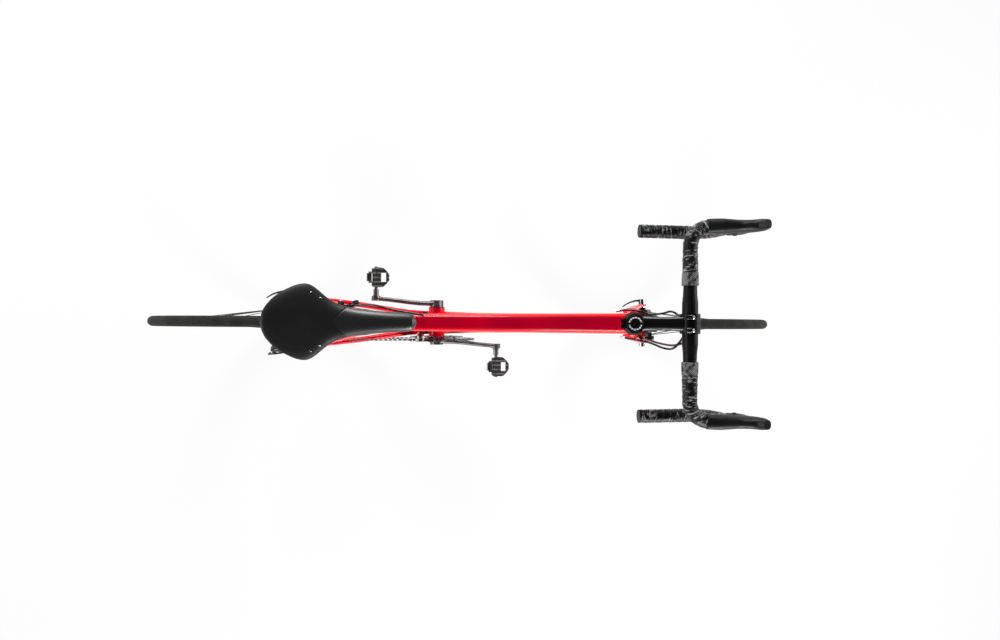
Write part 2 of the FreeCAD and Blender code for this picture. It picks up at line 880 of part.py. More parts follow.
def headset():
    """Crown race, upper cover, spacers and top cap."""
    pieces = [
        pipe_between(
            along_steering(crown_height), along_steering(head_bottom - seat_gap),
            crown_race_radius - 1, steerer_radius
        ),
        cone_between(along_steering(cover_start), along_steering(spacer_start), head_tube_radius + 1.5, 18.5)
        .cut(rod(along_steering(cover_start), along_steering(spacer_start), steerer_radius)),
    ]
    for step in range(spacer_count):
        low = spacer_start + step * spacer_height
        pieces.append(
            pipe_between(along_steering(low), along_steering(low + spacer_height), 17.5, steerer_radius)
        )
    cap = rod(along_steering(steerer_top), along_steering(steerer_top + cap_height), 17.0)
    top_edge = cap.Edges
    cap = cap.makeFillet(1.5, [edge for edge in top_edge if edge.BoundBox.ZMax > cap.BoundBox.ZMax - 0.01])
    well = rod(
        along_steering(steerer_top + cap_height - 2.5),
        along_steering(steerer_top + cap_height + 1), 5.0,
    )
    cap = cap.cut(well)
    bolt = rod(
        along_steering(steerer_top + cap_height - 2.5),
        along_steering(steerer_top + cap_height - 0.3), 4.5,
    )
    return pieces + [cap, bolt]


def stem_bolt_places():
    places = []
    for above in (-1, 1):
        for side in (-1, 1):
            places.append(bar_centre + stem_up * above * (bar_clamp_radius + 4.2) + y_axis * side * 13.0)
    return places


def front_half(offset, forwards):
    """Block holding everything ahead of (or behind) the clamp's split plane."""
    size = 120.0
    block = Part.makeBox(size, size, size, Vector(0 if forwards else -size, -size / 2, -size / 2))
    block.rotate(Vector(0, 0, 0), y_axis, -math.degrees(stem_angle))
    block.translate(bar_centre + stem_forward * offset)
    return block


def bar_clamp_shell_solid(reach_back, reach_front):
    ring = rod(
        moved_y(bar_centre, -bar_clamp_half_width), moved_y(bar_centre, bar_clamp_half_width),
        bar_clamp_radius + bar_clamp_shell,
    )
    ears = [
        rod(place - stem_forward * reach_back, place + stem_forward * reach_front, 5.2)
        for place in stem_bolt_places()
    ]
    return fused([ring] + ears)


def bar_clamp_hollow():
    return rod(moved_y(bar_centre, -40), moved_y(bar_centre, 40), bar_clamp_radius)


def stem():
    clamp = rod(along_steering(stem_start), along_steering(steerer_top), stem_clamp_radius)
    extension = loft([
        outline(stem_base + stem_forward * 6, stem_forward, 31, 35, 2.8),
        outline(stem_base + stem_forward * 55, stem_forward, 28, 32, 2.8),
        outline(bar_centre - stem_forward * 14, stem_forward, 30, 31, 2.8),
    ])
    lug_size = Vector(12, 20, stem_clamp_height - 10)
    lug = Part.makeBox(
        lug_size.x, lug_size.y, lug_size.z,
        Vector(-lug_size.x - 16, -lug_size.y / 2, -lug_size.z / 2),
    )
    lug.rotate(Vector(0, 0, 0), y_axis, -(90 - head_angle))
    lug.translate(stem_base)
    slit = Part.makeBox(30, 1.6, stem_clamp_height + 2, Vector(-34, -0.8, -stem_clamp_height / 2 - 1))
    slit.rotate(Vector(0, 0, 0), y_axis, -(90 - head_angle))
    slit.translate(stem_base)
    rear_shell = bar_clamp_shell_solid(11, 0).common(front_half(-stem_split_gap / 2, False))
    body = fused([clamp, extension, lug, rear_shell])
    body = body.cut(rod(along_steering(stem_start - 1), along_steering(steerer_top + 1), steerer_radius))
    body = body.cut(bar_clamp_hollow()).cut(slit).cut(front_half(-stem_split_gap / 2, True))
    bolts = []
    for height in (stem_start + 11, steerer_top - 11):
        middle = along_steering(height, -22.5)
        shank = rod(moved_y(middle, -10), moved_y(middle, 10), 2.5)
        head = rod(moved_y(middle, 6.5), moved_y(middle, 10), 4.0)
        bolt = fused([shank, head])
        body = body.cut(bolt)
        bolts.append(bolt)
    for place in stem_bolt_places():
        body = body.cut(rod(place - stem_forward * 20, place, 2.5))
    return [largest(body)] + bolts


def stem_faceplate():
    plate = bar_clamp_shell_solid(0, 5).common(front_half(stem_split_gap / 2, True)).cut(bar_clamp_hollow())
    window = rod(bar_centre, bar_centre + stem_forward * 40, 8.0)
    plate = plate.cut(window)
    bolts = []
    for place in stem_bolt_places():
        shank = rod(place - stem_forward * 9, place + stem_forward * 5, 2.5)
        head = rod(place + stem_forward * 5, place + stem_forward * 8.5, 4.2)
        socket = rod(place + stem_forward * 6.5, place + stem_forward * 9, 2.0)
        bolt = fused([shank, head])
        plate = plate.cut(bolt)
        bolts.append(bolt.cut(socket))
    return [largest(plate)] + bolts


# ================= HANDLEBAR, HOODS AND LEVERS =================
bar_radius = 11.9
bar_bore = 9.9
bar_half_width = 195.0
bar_reach = 84.0
bar_drop = 128.0
bar_end_back = 55.0
bar_flare = 8.0
bar_corner_radii = (52.0, 40.0, 40.0)
bulge_half = 42.0
bulge_end = 58.0
bar_top_radius = 14.1
bar_top_end = 140.0
tape_thickness = 2.5
tape_start = 77.0
lever_pin_radius = 2.0
lever_pivot_forward = 119.0
lever_pivot_above = 10.0
lever_slot_half = 5.0
lever_tongue_half = 4.0
tape_radius = bar_radius + tape_thickness


def from_bar(forward, side, above):
    return bar_centre + Vector(forward, side, above)


def bar_side_points(side):
    """Handlebar corners from the tops to the end of the drop, on one side."""
    return [
        from_bar(0, side * bar_half_width, 0),
        from_bar(bar_reach, side * (bar_half_width + 3), 1),
        from_bar(bar_reach + 4, side * (bar_half_width + bar_flare), -bar_drop),
        from_bar(-bar_end_back, side * (bar_half_width + bar_flare + 2), -bar_drop - 8),
    ]


def bar_side_path(side, start_side):
    start = from_bar(0, side * start_side, 0)
    radii = list(reversed(bar_corner_radii))
    return rounded_wire([start] + bar_side_points(side), radii=radii)


def bar_top(side, end_radius):
    """The straight top of the bar, wide at the stem's clamp and narrowing to the bend."""
    return fused([
        cone_between(
            from_bar(0, side * bulge_half, 0), from_bar(0, side * bulge_end, 0), bar_clamp_radius,
            bar_top_radius
        ),
        cone_between(
            from_bar(0, side * bulge_end, 0), from_bar(0, side * bar_top_end, 0), bar_top_radius, end_radius
        ),
    ])


def handlebar():
    right = bar_side_points(-1)
    left = bar_side_points(1)
    points = list(reversed(right)) + left
    radii = list(bar_corner_radii) + list(reversed(bar_corner_radii))
    path = rounded_wire(points, radii=radii)
    tube = swept(path, bar_radius)
    bulge = rod(from_bar(0, -bulge_half, 0), from_bar(0, bulge_half, 0), bar_clamp_radius)
    tops = [bar_top(side, bar_radius - 0.1) for side in (-1, 1)]
    bar = fused([tube, bulge] + tops).cut(swept(path, bar_bore))
    pieces = [largest(bar)]
    for side in (-1, 1):
        ends = bar_side_points(side)
        outward = unit(ends[-1] - ends[-2])
        end = ends[-1]
        plug = fused([rod(end - outward * 16, end, bar_bore), rod(end, end + outward * 3.5, tape_radius)])
        pieces.append(plug)
    return pieces


def tape_outside(side):
    """Skin of the tape: it follows the bar's narrowing top, then runs evenly round the bends."""
    narrowing = (bar_top_radius - bar_radius) / (bar_top_end - bulge_end)
    top_start = bar_top_radius - narrowing * (tape_start - bulge_end)
    top = cone_between(
        from_bar(0, side * tape_start, 0), from_bar(0, side * (bar_top_end + 2), 0),
        top_start + tape_thickness, tape_radius - 0.1,
    )
    return swept(bar_side_path(side, tape_start), tape_radius).fuse(top)


def bar_tape():
    wraps = []
    for side in (-1, 1):
        path = bar_side_path(side, tape_start - 5)
        wrap = tape_outside(side).cut(swept(path, bar_radius)).cut(bar_top(side, bar_radius - 0.1))
        wraps.append(largest(wrap))
    return wraps


def lever_pivot(side):
    return from_bar(lever_pivot_forward, side * (bar_half_width + 2), lever_pivot_above)


def brake_hood(side):
    """Lever bracket in its rubber hood, sitting on the bend of the bar, with its raised horn."""
    across = side * (bar_half_width + 2)
    wires = []
    for forward, above, width, depth, slope in (
        (32, 9, 29, 20, 0.05), (60, 12, 31, 33, 0.08), (93, 13, 27, 40, 0.2),
        (119, 24, 25, 42, 0.75), (132, 44, 24, 25, 3.0), (135, 57, 19, 16, 9.0),
    ):
        wires.append(outline(from_bar(forward, across, above), Vector(1, 0, slope), width, depth, 2.4))
    body = loft(wires)
    pivot = lever_pivot(side)
    low, high = pivot.y - lever_slot_half, pivot.y + lever_slot_half
    px, pz = pivot.x, pivot.z
    corners = [(px - 11, pz - 20), (px - 10, pz + 1), (px, pz + 10), (px + 26, pz + 7), (px + 26, pz - 20)]
    slot = slab(corners, low, high).fuse(rod(moved_y(pivot, low), moved_y(pivot, high), 10.5))
    body = largest(body.cut(tape_outside(side)).cut(slot))
    pin = rod(moved_y(pivot, pivot.y - 12), moved_y(pivot, pivot.y + 12), lever_pin_radius)
    return fused([body, pin])


def brake_lever(side):
    """Curved blade hanging from the hood, with the shift paddle's pin behind it."""
    pivot = lever_pivot(side)
    wires = []
    for forward, above, outwards, width, depth in (
        (4, -8, 0, 7.8, 9), (13, -24, 0, 13, 9), (22, -55, 1, 15, 8),
        (22, -92, 3, 14, 7), (16, -122, 5, 11, 6),
    ):
        centre = pivot + Vector(forward, side * outwards, above)
        wires.append(outline(centre, Vector(0.1, 0, 1), width, depth, 2.6))
    blade = loft(wires)
    tongue = rod(
        moved_y(pivot, pivot.y - lever_tongue_half), moved_y(pivot, pivot.y + lever_tongue_half), 8.0
    )
    bore = rod(moved_y(pivot, pivot.y - 10), moved_y(pivot, pivot.y + 10), lever_pin_radius + running_gap)
    pin = rod(paddle_pivot(side) - x_axis * 12, paddle_pivot(side) + x_axis * 6, paddle_pin_radius)
    return fused([blade, tongue, pin]).cut(bore)


paddle_pin_radius = 1.8


def paddle_pivot(side):
    return lever_pivot(side) + Vector(10, 0, -32)


def shift_paddle(side):
    """Small paddle behind the brake blade, on a fore and aft pin."""
    pivot = paddle_pivot(side)
    boss = rod(pivot - x_axis * 10, pivot - x_axis * 1.5, 5.0)
    corners = []
    for inwards, above in ((-3.5, -1), (3.5, -1), (5, -14), (10, -26), (9, -36), (2, -37), (-3, -22)):
        corners.append(Vector(pivot.x - 8, pivot.y - side * inwards, pivot.z + above))
    plate = polygon_face(corners).extrude(Vector(3.2, 0, 0))
    bore = rod(pivot - x_axis * 20, pivot + x_axis * 20, paddle_pin_radius + running_gap)
    return fused([boss, plate]).cut(bore)


# ================= CALIPER BRAKES =================
arm_full_turn = 2.05            # degrees, with the lever pulled home
pad_clearance = 0.05            # left between pad and rim at full turn
pad_thickness = 8.0
pad_length = 50.0
pad_height = 9.0
arm_thickness = 8.0
arm_gap = 0.4
side_pivot_offset = 22.0
bolt_pin_radius = 3.0


def placed(shape, origin, sideways, upwards, outwards):
    """Moves a shape drawn on the local x, y, z axes to three given directions."""
    copy = shape.copy()
    if sideways.cross(upwards).dot(outwards) < 0:
        copy = copy.mirror(Vector(0, 0, 0), x_axis)
        sideways = sideways * -1
    matrix = FreeCAD.Matrix(
        sideways.x, upwards.x, outwards.x, origin.x,
        sideways.y, upwards.y, outwards.y, origin.y,
        sideways.z, upwards.z, outwards.z, origin.z,
        0, 0, 0, 1,
    )
    copy.transformShape(matrix, True)
    return copy


def local_plate(points, low, high):
    corners = [Vector(px, py, low) for px, py in points]
    return polygon_face(corners).extrude(Vector(0, 0, high - low))


def local_rod(px, py, low, high, radius):
    return Part.makeCylinder(radius, high - low, Vector(px, py, low), z_axis)


def brake_pad(side, pad_drop, pad_out, rim_half):
    """Shoe and its bolt, far enough from the rim to come just short of it at full turn."""
    gap = (pad_drop + pad_height / 2) * math.sin(math.radians(arm_full_turn)) + pad_clearance
    face = side * (rim_half + gap)
    back = side * (rim_half + gap + pad_thickness)
    shoe = Part.makeBox(
        pad_thickness, pad_height, pad_length,
        Vector(min(face, back), -pad_drop - pad_height / 2, pad_out - pad_length / 2),
    )
    bolt = Part.makeCylinder(3.0, 14.0, Vector(back, -pad_drop, pad_out), x_axis * side)
    return fused([shoe, bolt])


def caliper(origin, cable_side, upwards, outwards, stand_off, pad_drop):
    """Dual pivot brake: (left arm pieces, right arm pieces, centre bolt).

    Local x is sideways towards the cable, y upwards and z away from the bicycle. The centre
    arm turns on the mounting bolt. The side arm turns on a pin in the centre bolt's bracket.
    """
    layer_one = stand_off
    layer_two = stand_off + arm_thickness + arm_gap
    layer_end = layer_two + arm_thickness
    pad_out = stand_off + arm_thickness
    hole = bolt_pin_radius + running_gap
    centre_arm = fused([
        local_plate(
            [(-9, 8), (4, 10), (22, 20), (38, 21), (38, 13), (24, 11), (9, -5), (-2, -10),
             (-14, -6), (-22, -16), (-24, -pad_drop + 7), (-24, -pad_drop - 6),
             (-33, -pad_drop - 6), (-34, -22), (-28, -4), (-18, 4)],
            layer_two, layer_end),
        local_rod(0, 0, layer_two, layer_end, 10.0),
    ])
    clamp = fused([local_rod(33, 17, layer_end, layer_end + 5, 5.0)])
    centre_arm = fused([centre_arm, clamp]).cut(local_rod(0, 0, layer_two - 1, layer_end + 9, hole))
    side_arm = fused([
        local_plate(
            [(side_pivot_offset - 7, 6), (22, 20), (30, 34), (42, 34), (40, 24), (33, 8), (36, -8), (34, -24),
             (33, -pad_drop - 6), (24, -pad_drop - 6), (24, -pad_drop + 7), (25, -22), (17, -8), (14, -2)],
            layer_one, layer_one + arm_thickness),
        local_rod(side_pivot_offset, 0, layer_one, layer_one + arm_thickness, 9.0),
    ])
    barrel = Part.makeCylinder(4.5, 16, Vector(36, 28, layer_one + arm_thickness / 2), y_axis)
    side_arm = fused([side_arm, barrel]).cut(
        local_rod(side_pivot_offset, 0, layer_one - 1, layer_one + arm_thickness + 1, hole)
    )
    pads = [brake_pad(-1, pad_drop, pad_out, rim_outer_half), brake_pad(1, pad_drop, pad_out, rim_outer_half)]
    centre_arm = centre_arm.cut(pads[0])
    side_arm = side_arm.cut(pads[1])
    bracket = fused([
        local_plate(
            [(-9, -9), (14, -9), (30, -8), (30, 8), (14, 9), (-9, 9)], layer_one - 7,
            layer_one - arm_gap,
        ),
        local_rod(0, 0, -16, layer_end + 2.5, bolt_pin_radius),
        local_rod(0, 0, layer_one - 7, layer_two - arm_gap, 6.5),
        local_rod(0, 0, layer_end + arm_gap, layer_end + 5, 5.5),
        local_rod(side_pivot_offset, 0, layer_one - 7, layer_one + arm_thickness + arm_gap, bolt_pin_radius),
    ])
    side_arm = side_arm.cut(local_rod(0, 0, layer_one - 1, layer_two, 7.2))
    sets = ([largest(centre_arm), pads[0]], [largest(side_arm), pads[1]], [bracket])
    sideways = y_axis * cable_side
    moved = []
    for pieces in sets:
        moved.append([placed(piece, origin, sideways, upwards, outwards) for piece in pieces])
    return moved


def front_brake():
    stand_off = 31.0
    pad_height_above = math.sqrt((rim_edge - 5) ** 2 - (stand_off + arm_thickness - fork_rake) ** 2)
    return caliper(
        along_steering(brake_bolt_height), -1, steer_up, steer_forward, stand_off,
        brake_bolt_height - pad_height_above,
    )


def stay_line():
    top, bridge, foot = seatstay_points()
    line = top - foot
    line.y = 0
    return unit(line)


def rear_brake():
    stand_off = 17.0
    bridge = bridge_point()
    outwards = bridge_forward() * -1
    reach = bridge + outwards * (stand_off + arm_thickness) - rear_axle
    up = stay_line()
    along = reach.dot(up)
    drop = along - math.sqrt(along**2 - reach.dot(reach) + (rim_edge - 5) ** 2)
    return caliper(bridge, 1, up, outwards, stand_off, drop)


# ================= AXLES AND QUICK RELEASES =================
skewer_radius = 2.5
cam_pin_radius = 2.5
cam_slot_half = 3.8
lever_half = 3.5
cam_side_gap = 7.0


def axle_set(centre, spacing, hub_half_left, hub_half_right):
    """Hollow axle with its locknuts, the skewer, its nut and the cam housing on the left."""
    outer = spacing / 2 + dropout_thickness
    hollow = pipe_between(
        moved_y(centre, -outer + 0.5), moved_y(centre, outer - 0.5), axle_end_radius, skewer_radius
    )
    left_nut = pipe_between(
        moved_y(centre, hub_half_left + seat_gap), moved_y(centre, spacing / 2), 8.5,
        axle_end_radius,
    )
    right_nut = pipe_between(
        moved_y(centre, -spacing / 2), moved_y(centre, -hub_half_right - seat_gap), 8.5, axle_end_radius
    )
    nut = rod(moved_y(centre, -outer - 10), moved_y(centre, -outer), 9.0)
    housing = rod(moved_y(centre, outer), moved_y(centre, outer + 15), 9.5)
    cam = moved_y(centre, outer + cam_side_gap)
    slot = Part.makeBox(
        40, 20, 2 * cam_slot_half, Vector(centre.x - 20, outer + 0.8, centre.z - cam_slot_half),
    )
    pin = rod(cam - z_axis * 9, cam + z_axis * 9, cam_pin_radius)
    skewer = fused([
        rod(moved_y(centre, -outer - 10), moved_y(centre, outer), skewer_radius),
        nut, housing.cut(slot), pin,
    ])
    return [hollow, left_nut, right_nut] + solids_of(skewer)


def qr_lever(centre, spacing):
    """Curved lever on the cam, folded back along the bicycle."""
    cam = moved_y(centre, spacing / 2 + dropout_thickness + cam_side_gap)
    eye = rod(cam - z_axis * lever_half, cam + z_axis * lever_half, 5.8)
    wires = []
    for back, out, height, thickness in (
        (0, 0.8, 6.8, 7.5), (12, 3.5, 6.8, 6.0), (24, 2.0, 10, 5.0), (42, -4, 13, 4.5), (58, -14, 10, 3.5),
    ):
        wires.append(outline(cam + Vector(-back, out, 0), x_axis, thickness, height, 2.2))
    arm = loft(wires)
    bore = rod(cam - z_axis * 20, cam + z_axis * 20, cam_pin_radius + running_gap)
    return fused([eye, arm]).cut(bore)


# ================= CRANKS, CHAINRINGS AND CASSETTE =================
chain_pitch = 12.7
roller_radius = 3.85
chain_line = 47.24              # the plane the chain runs in, on the outer ring
outer_ring_teeth = 52
inner_ring_teeth = 36
ring_spacing = 7.5
ring_thickness = 2.0
cog_thickness = 1.6
cog_spacing = 3.74
cog_teeth = (11, 12, 13, 14, 15, 17, 19, 21, 23, 25, 28)
chain_cog = 4                   # the chain runs on the fifth cog from the outside
pulley_teeth = 11
crank_length = 172.5
pedal_face = 74.0
crank_boss_face = shell_half_width + 2.6
bolt_circle = 55.0
spider_arms = 5


def pitch_radius(teeth):
    return chain_pitch / (2 * math.sin(math.pi / teeth))


def toothed_disc(centre_xz, teeth, side, thickness, phase):
    """Toothed wheel about a sideways axis. phase is the angle of one gap between teeth."""
    radius = pitch_radius(teeth)
    root = radius - roller_radius - 0.25
    tip = radius + 2.6
    corners = []
    for tooth in range(teeth):
        middle = phase + (tooth + 0.5) * 2 * math.pi / teeth
        for reach, half in ((root, -3.5), (tip, -0.9), (tip, 0.9), (root, 3.5)):
            angle = middle + math.atan2(half, reach)
            corners.append((centre_xz[0] + reach * math.cos(angle), centre_xz[1] + reach * math.sin(angle)))
    return slab(corners, side - thickness / 2, side + thickness / 2)


def round_hole(centre, radius, low=-200.0, high=200.0):
    return rod(Vector(centre.x, low, centre.z), Vector(centre.x, high, centre.z), radius)


def chainring(teeth, side, phase):
    """Ring with bolt tabs on its inner edge."""
    disc = toothed_disc((bottom_bracket.x, bottom_bracket.z), teeth, side, ring_thickness, phase)
    window = round_hole(bottom_bracket, bolt_circle + 6.5 if teeth > 40 else bolt_circle + 6.0)
    ring = disc.cut(window)
    tabs = []
    for step in range(spider_arms):
        angle = spider_angle(step)
        centre = spider_point(angle, bolt_circle)
        outer = spider_point(angle, bolt_circle + 9)
        low, high = side - ring_thickness / 2, side + ring_thickness / 2
        tabs.append(round_hole(centre, 7.5, low, high))
        plate = Part.makeBox(12, ring_thickness, 15, Vector(-4, low, -7.5))
        plate.rotate(Vector(0, 0, 0), y_axis, -math.degrees(angle))
        plate.translate(Vector(centre.x, 0, centre.z))
        tabs.append(plate)
    ring = fused([ring] + tabs)
    for step in range(spider_arms):
        ring = ring.cut(round_hole(spider_point(spider_angle(step), bolt_circle), 4.0))
    return ring


def spider_angle(step):
    return 2 * math.pi * (step + 0.5) / spider_arms


def spider_point(angle, radius):
    return bottom_bracket + Vector(math.cos(angle) * radius, 0, math.sin(angle) * radius)


def spider_arm(step):
    """Arm from the crank boss to one pair of chainring tabs."""
    tab_low = -chain_line + ring_thickness / 2
    tab_high = -chain_line + ring_spacing - ring_thickness / 2
    profile = [
        (14, -crank_boss_face - 13), (14, -crank_boss_face), (26, -crank_boss_face), (44, tab_high),
        (bolt_circle + 5.5, tab_high), (bolt_circle + 5.5, tab_low), (bolt_circle - 8.2, tab_low), (36, -52),
    ]
    corners = [Vector(radius, side, -7) for radius, side in profile]
    arm = polygon_face(corners).extrude(Vector(0, 0, 14))
    arm.rotate(Vector(0, 0, 0), y_axis, -math.degrees(spider_angle(step)))
    arm.translate(bottom_bracket)
    return arm


def crank_arm(side, forwards):
    """Tapered arm from the spindle boss to the pedal eye, bowed outwards."""
    reach = crank_length * forwards
    wires = []
    for share, height, width, across in (
        (0.0, 34, 15, crank_boss_face + 9), (0.3, 27, 13.5, crank_boss_face + 9.5),
        (0.75, 23, 12.5, crank_boss_face + 18), (1.0, 25, 13, pedal_face - 6.5),
    ):
        centre = bottom_bracket + Vector(reach * share, side * across, 0)
        wires.append(outline(centre, x_axis, width, height, 2.6))
    end = bottom_bracket + Vector(reach, 0, 0)
    eye = rod(moved_y(end, side * (pedal_face - 13)), moved_y(end, side * pedal_face), 13.0)
    boss = rod(
        moved_y(bottom_bracket, side * crank_boss_face),
        moved_y(bottom_bracket, side * (crank_boss_face + 18)), 19.0
    )
    return [boss, eye, loft(wires)]


def pedal_end(side):
    forwards = 1 if side < 0 else -1
    return bottom_bracket + Vector(crank_length * forwards, 0, 0)


pedal_axle_radius = 5.0
pedal_axle_length = 84.0
pedal_thread_radius = 7.0


def pedal_axle(side):
    end = pedal_end(side)
    face = side * pedal_face
    return fused([
        rod(moved_y(end, face - side * 12), moved_y(end, face), pedal_thread_radius),
        rod(moved_y(end, face), moved_y(end, face + side * 4), 9.0),
        rod(moved_y(end, face + side * 4), moved_y(end, face + side * 20), 7.5),
        rod(moved_y(end, face + side * 20), moved_y(end, face + side * pedal_axle_length), pedal_axle_radius),
    ])


def cranks():
    """Right arm with its spider and spindle, left arm, pedal axles and the left arm's pinch bolts."""
    spindle_start = -crank_boss_face - 6
    spindle_end = crank_boss_face + 18
    spindle = rod(
        moved_y(bottom_bracket, spindle_start), moved_y(bottom_bracket, spindle_end),
        spindle_radius,
    )
    hollow = rod(
        moved_y(bottom_bracket, -crank_boss_face - 15), moved_y(bottom_bracket, spindle_end + 1),
        spindle_radius - 2.5
    )
    arms = crank_arm(-1, 1)
    spider = [spider_arm(step) for step in range(spider_arms)]
    right = arms[0].fuse(spider + arms[1:] + [spindle]).cut(hollow)
    left = fused(crank_arm(1, -1))
    left = left.cut(rod(moved_y(bottom_bracket, 0), moved_y(bottom_bracket, 90), spindle_radius))
    slit = Part.makeBox(
        30, 22, 1.6, Vector(bottom_bracket.x + 6, crank_boss_face - 1, bottom_bracket.z - 0.8),
    )
    left = left.cut(slit)
    bolts = []
    for across in (crank_boss_face + 5, crank_boss_face + 13):
        start = Vector(bottom_bracket.x + 15.5, across, bottom_bracket.z - 11)
        bolt = rod(start, start + z_axis * 22, 2.2)
        left = left.cut(bolt)
        bolts.append(bolt)
    right_axle = pedal_axle(-1)
    left_axle = pedal_axle(1)
    return [largest(right.cut(right_axle)), right_axle, largest(left.cut(left_axle)), left_axle] + bolts


def chainrings(outer_phase):
    inner_side = -chain_line + ring_spacing
    rings = [
        chainring(outer_ring_teeth, -chain_line, outer_phase),
        chainring(inner_ring_teeth, inner_side, outer_phase),
    ]
    bolts = []
    for step in range(spider_arms):
        centre = spider_point(spider_angle(step), bolt_circle)
        low = -chain_line - ring_thickness / 2
        high = inner_side + ring_thickness / 2
        bolt = fused([
            round_hole(centre, 4.0, low, high),
            round_hole(centre, 6.0, low - 2.0, low),
            round_hole(centre, 6.0, high, high + 1.2),
        ])
        bolts.append(bolt)
    return rings + bolts, bolts


def cog_side(place):
    return -chain_line - (chain_cog - place) * cog_spacing


def cassette(phase):
    """Eleven cogs on one carrier, from the smallest outside to the largest inside."""
    cogs = []
    for place, teeth in enumerate(cog_teeth):
        disc = toothed_disc((rear_axle.x, rear_axle.z), teeth, cog_side(place), cog_thickness, phase)
        if teeth > 20:
            for step in range(5):
                angle = 2 * math.pi * step / 5
                reach = (pitch_radius(teeth) + freehub_radius) / 2
                centre = rear_axle + Vector(math.cos(angle) * reach, 0, math.sin(angle) * reach)
                disc = disc.cut(round_hole(centre, (pitch_radius(teeth) - freehub_radius) * 0.22))
        cogs.append(disc)
    outer = cog_side(0)
    inner = cog_side(len(cog_teeth) - 1)
    carrier = rod(
        moved_y(rear_axle, outer - cog_thickness / 2), moved_y(rear_axle, inner + cog_thickness / 2),
        freehub_radius + 2.5
    )
    whole = fused(cogs + [carrier])
    bore = round_hole(rear_axle, freehub_radius)
    return [whole.cut(bore), freehub()]


def freehub():
    """Freehub body, turning on the axle beside the hub shell."""
    outer = cog_side(0) - cog_thickness / 2
    inner = -freehub_start
    body = pipe_between(
        moved_y(rear_axle, outer), moved_y(rear_axle, inner), freehub_radius, axle_end_radius + running_gap
    )
    return body


# ================= CHAIN =================
guide_centre_offset = Vector(12.0, 0, -76.0)
pulley_distance = 56.0
chain_link_count = 106


def circle_tangent(first, second):
    """Tangent points between two circles (x, z, radius, turn): turn is 1 clockwise, -1 the other way."""
    ax, az, ar, at = first
    bx, bz, br, bt = second
    distance = math.hypot(bx - ax, bz - az)
    heading = math.atan2(bz - az, bx - ax)
    swing = math.asin((ar * at - br * bt) / distance)
    heading += -swing
    normal = heading + math.pi / 2
    start = (ax + ar * at * math.cos(normal), az + ar * at * math.sin(normal))
    end = (bx + br * bt * math.cos(normal), bz + br * bt * math.sin(normal))
    return start, end


def chain_circles(cage_angle):
    """Pitch circles in the order that the chain passes them."""
    guide = rear_axle + guide_centre_offset
    tension = guide + Vector(math.cos(cage_angle), 0, math.sin(cage_angle)) * pulley_distance
    pulley = pitch_radius(pulley_teeth)
    return [
        (bottom_bracket.x, bottom_bracket.z, pitch_radius(outer_ring_teeth), 1),
        (tension.x, tension.z, pulley, 1),
        (guide.x, guide.z, pulley, -1),
        (rear_axle.x, rear_axle.z, pitch_radius(cog_teeth[chain_cog]), 1),
    ]


def chain_track(cage_angle):
    """The chain's closed path as a list of (kind, data, length)."""
    circles = chain_circles(cage_angle)
    count = len(circles)
    runs = [circle_tangent(circles[place], circles[(place + 1) % count]) for place in range(count)]
    track = []
    for place in range(count):
        cx, cz, radius, turn = circles[place]
        arrive = runs[place - 1][1]
        leave = runs[place][0]
        start = math.atan2(arrive[1] - cz, arrive[0] - cx)
        end = math.atan2(leave[1] - cz, leave[0] - cx)
        sweep = (start - end) * turn % (2 * math.pi)
        track.append(("arc", (cx, cz, radius, turn, start), radius * sweep))
        length = math.hypot(runs[place][1][0] - leave[0], runs[place][1][1] - leave[1])
        track.append(("run", (leave, runs[place][1]), length))
    return track


def track_point(track, distance):
    for kind, data, length in track:
        if distance <= length or (kind, data) == (track[-1][0], track[-1][1]):
            if kind == "arc":
                cx, cz, radius, turn, start = data
                angle = start - turn * distance / radius
                return cx + radius * math.cos(angle), cz + radius * math.sin(angle)
            (sx, sz), (ex, ez) = data
            share = distance / length
            return sx + (ex - sx) * share, sz + (ez - sz) * share
        distance -= length


def chain_pins(cage_angle):
    """Pins one pitch apart along the path, and how far the last one misses the first."""
    track = chain_track(cage_angle)
    total = sum(length for _, _, length in track)
    pins = [track_point(track, 0)]
    distance = 0.0
    for _ in range(chain_link_count):
        low, high = distance + chain_pitch * 0.99, distance + chain_pitch * 1.08
        px, pz = pins[-1]
        for _ in range(24):
            middle = (low + high) / 2
            qx, qz = track_point(track, middle % total if middle > total else middle)
            if math.hypot(qx - px, qz - pz) < chain_pitch:
                low = middle
            else:
                high = middle
        distance = (low + high) / 2
        pins.append(track_point(track, distance % total if distance > total else distance))
    return pins[:-1], distance - total


def solved_cage_angle():
    """The cage angle at which a whole number of links closes the loop."""
    low, high = math.radians(-130), math.radians(-10)
    for _ in range(26):
        middle = (low + high) / 2
        if chain_pins(middle)[1] < 0:
            low = middle
        else:
            high = middle
    return (low + high) / 2


inner_plate_half_gap = 1.15
inner_plate_thickness = 0.7
outer_plate_thickness = 0.8
plate_half_height = 4.2
plate_waist = 3.3
plate_clearance = 0.05
chain_pin_half = 1.5


def link_plate(start, end, low, high):
    """Waisted link plate round two pins."""
    sx, sz = start
    ex, ez = end
    ux, uz = (ex - sx) / chain_pitch, (ez - sz) / chain_pitch
    corners = []
    for along, across in (
        (-plate_half_height + 0.2, 0), (-2.4, plate_half_height - 0.7), (chain_pitch / 2, plate_waist),
        (chain_pitch + 2.4, plate_half_height - 0.7), (chain_pitch + plate_half_height - 0.2, 0),
        (chain_pitch + 2.4, -plate_half_height + 0.7), (chain_pitch / 2, -plate_waist),
        (-2.4, -plate_half_height + 0.7),
    ):
        corners.append((sx + ux * along - uz * across, sz + uz * along + ux * across))
    return slab(corners, low, high)


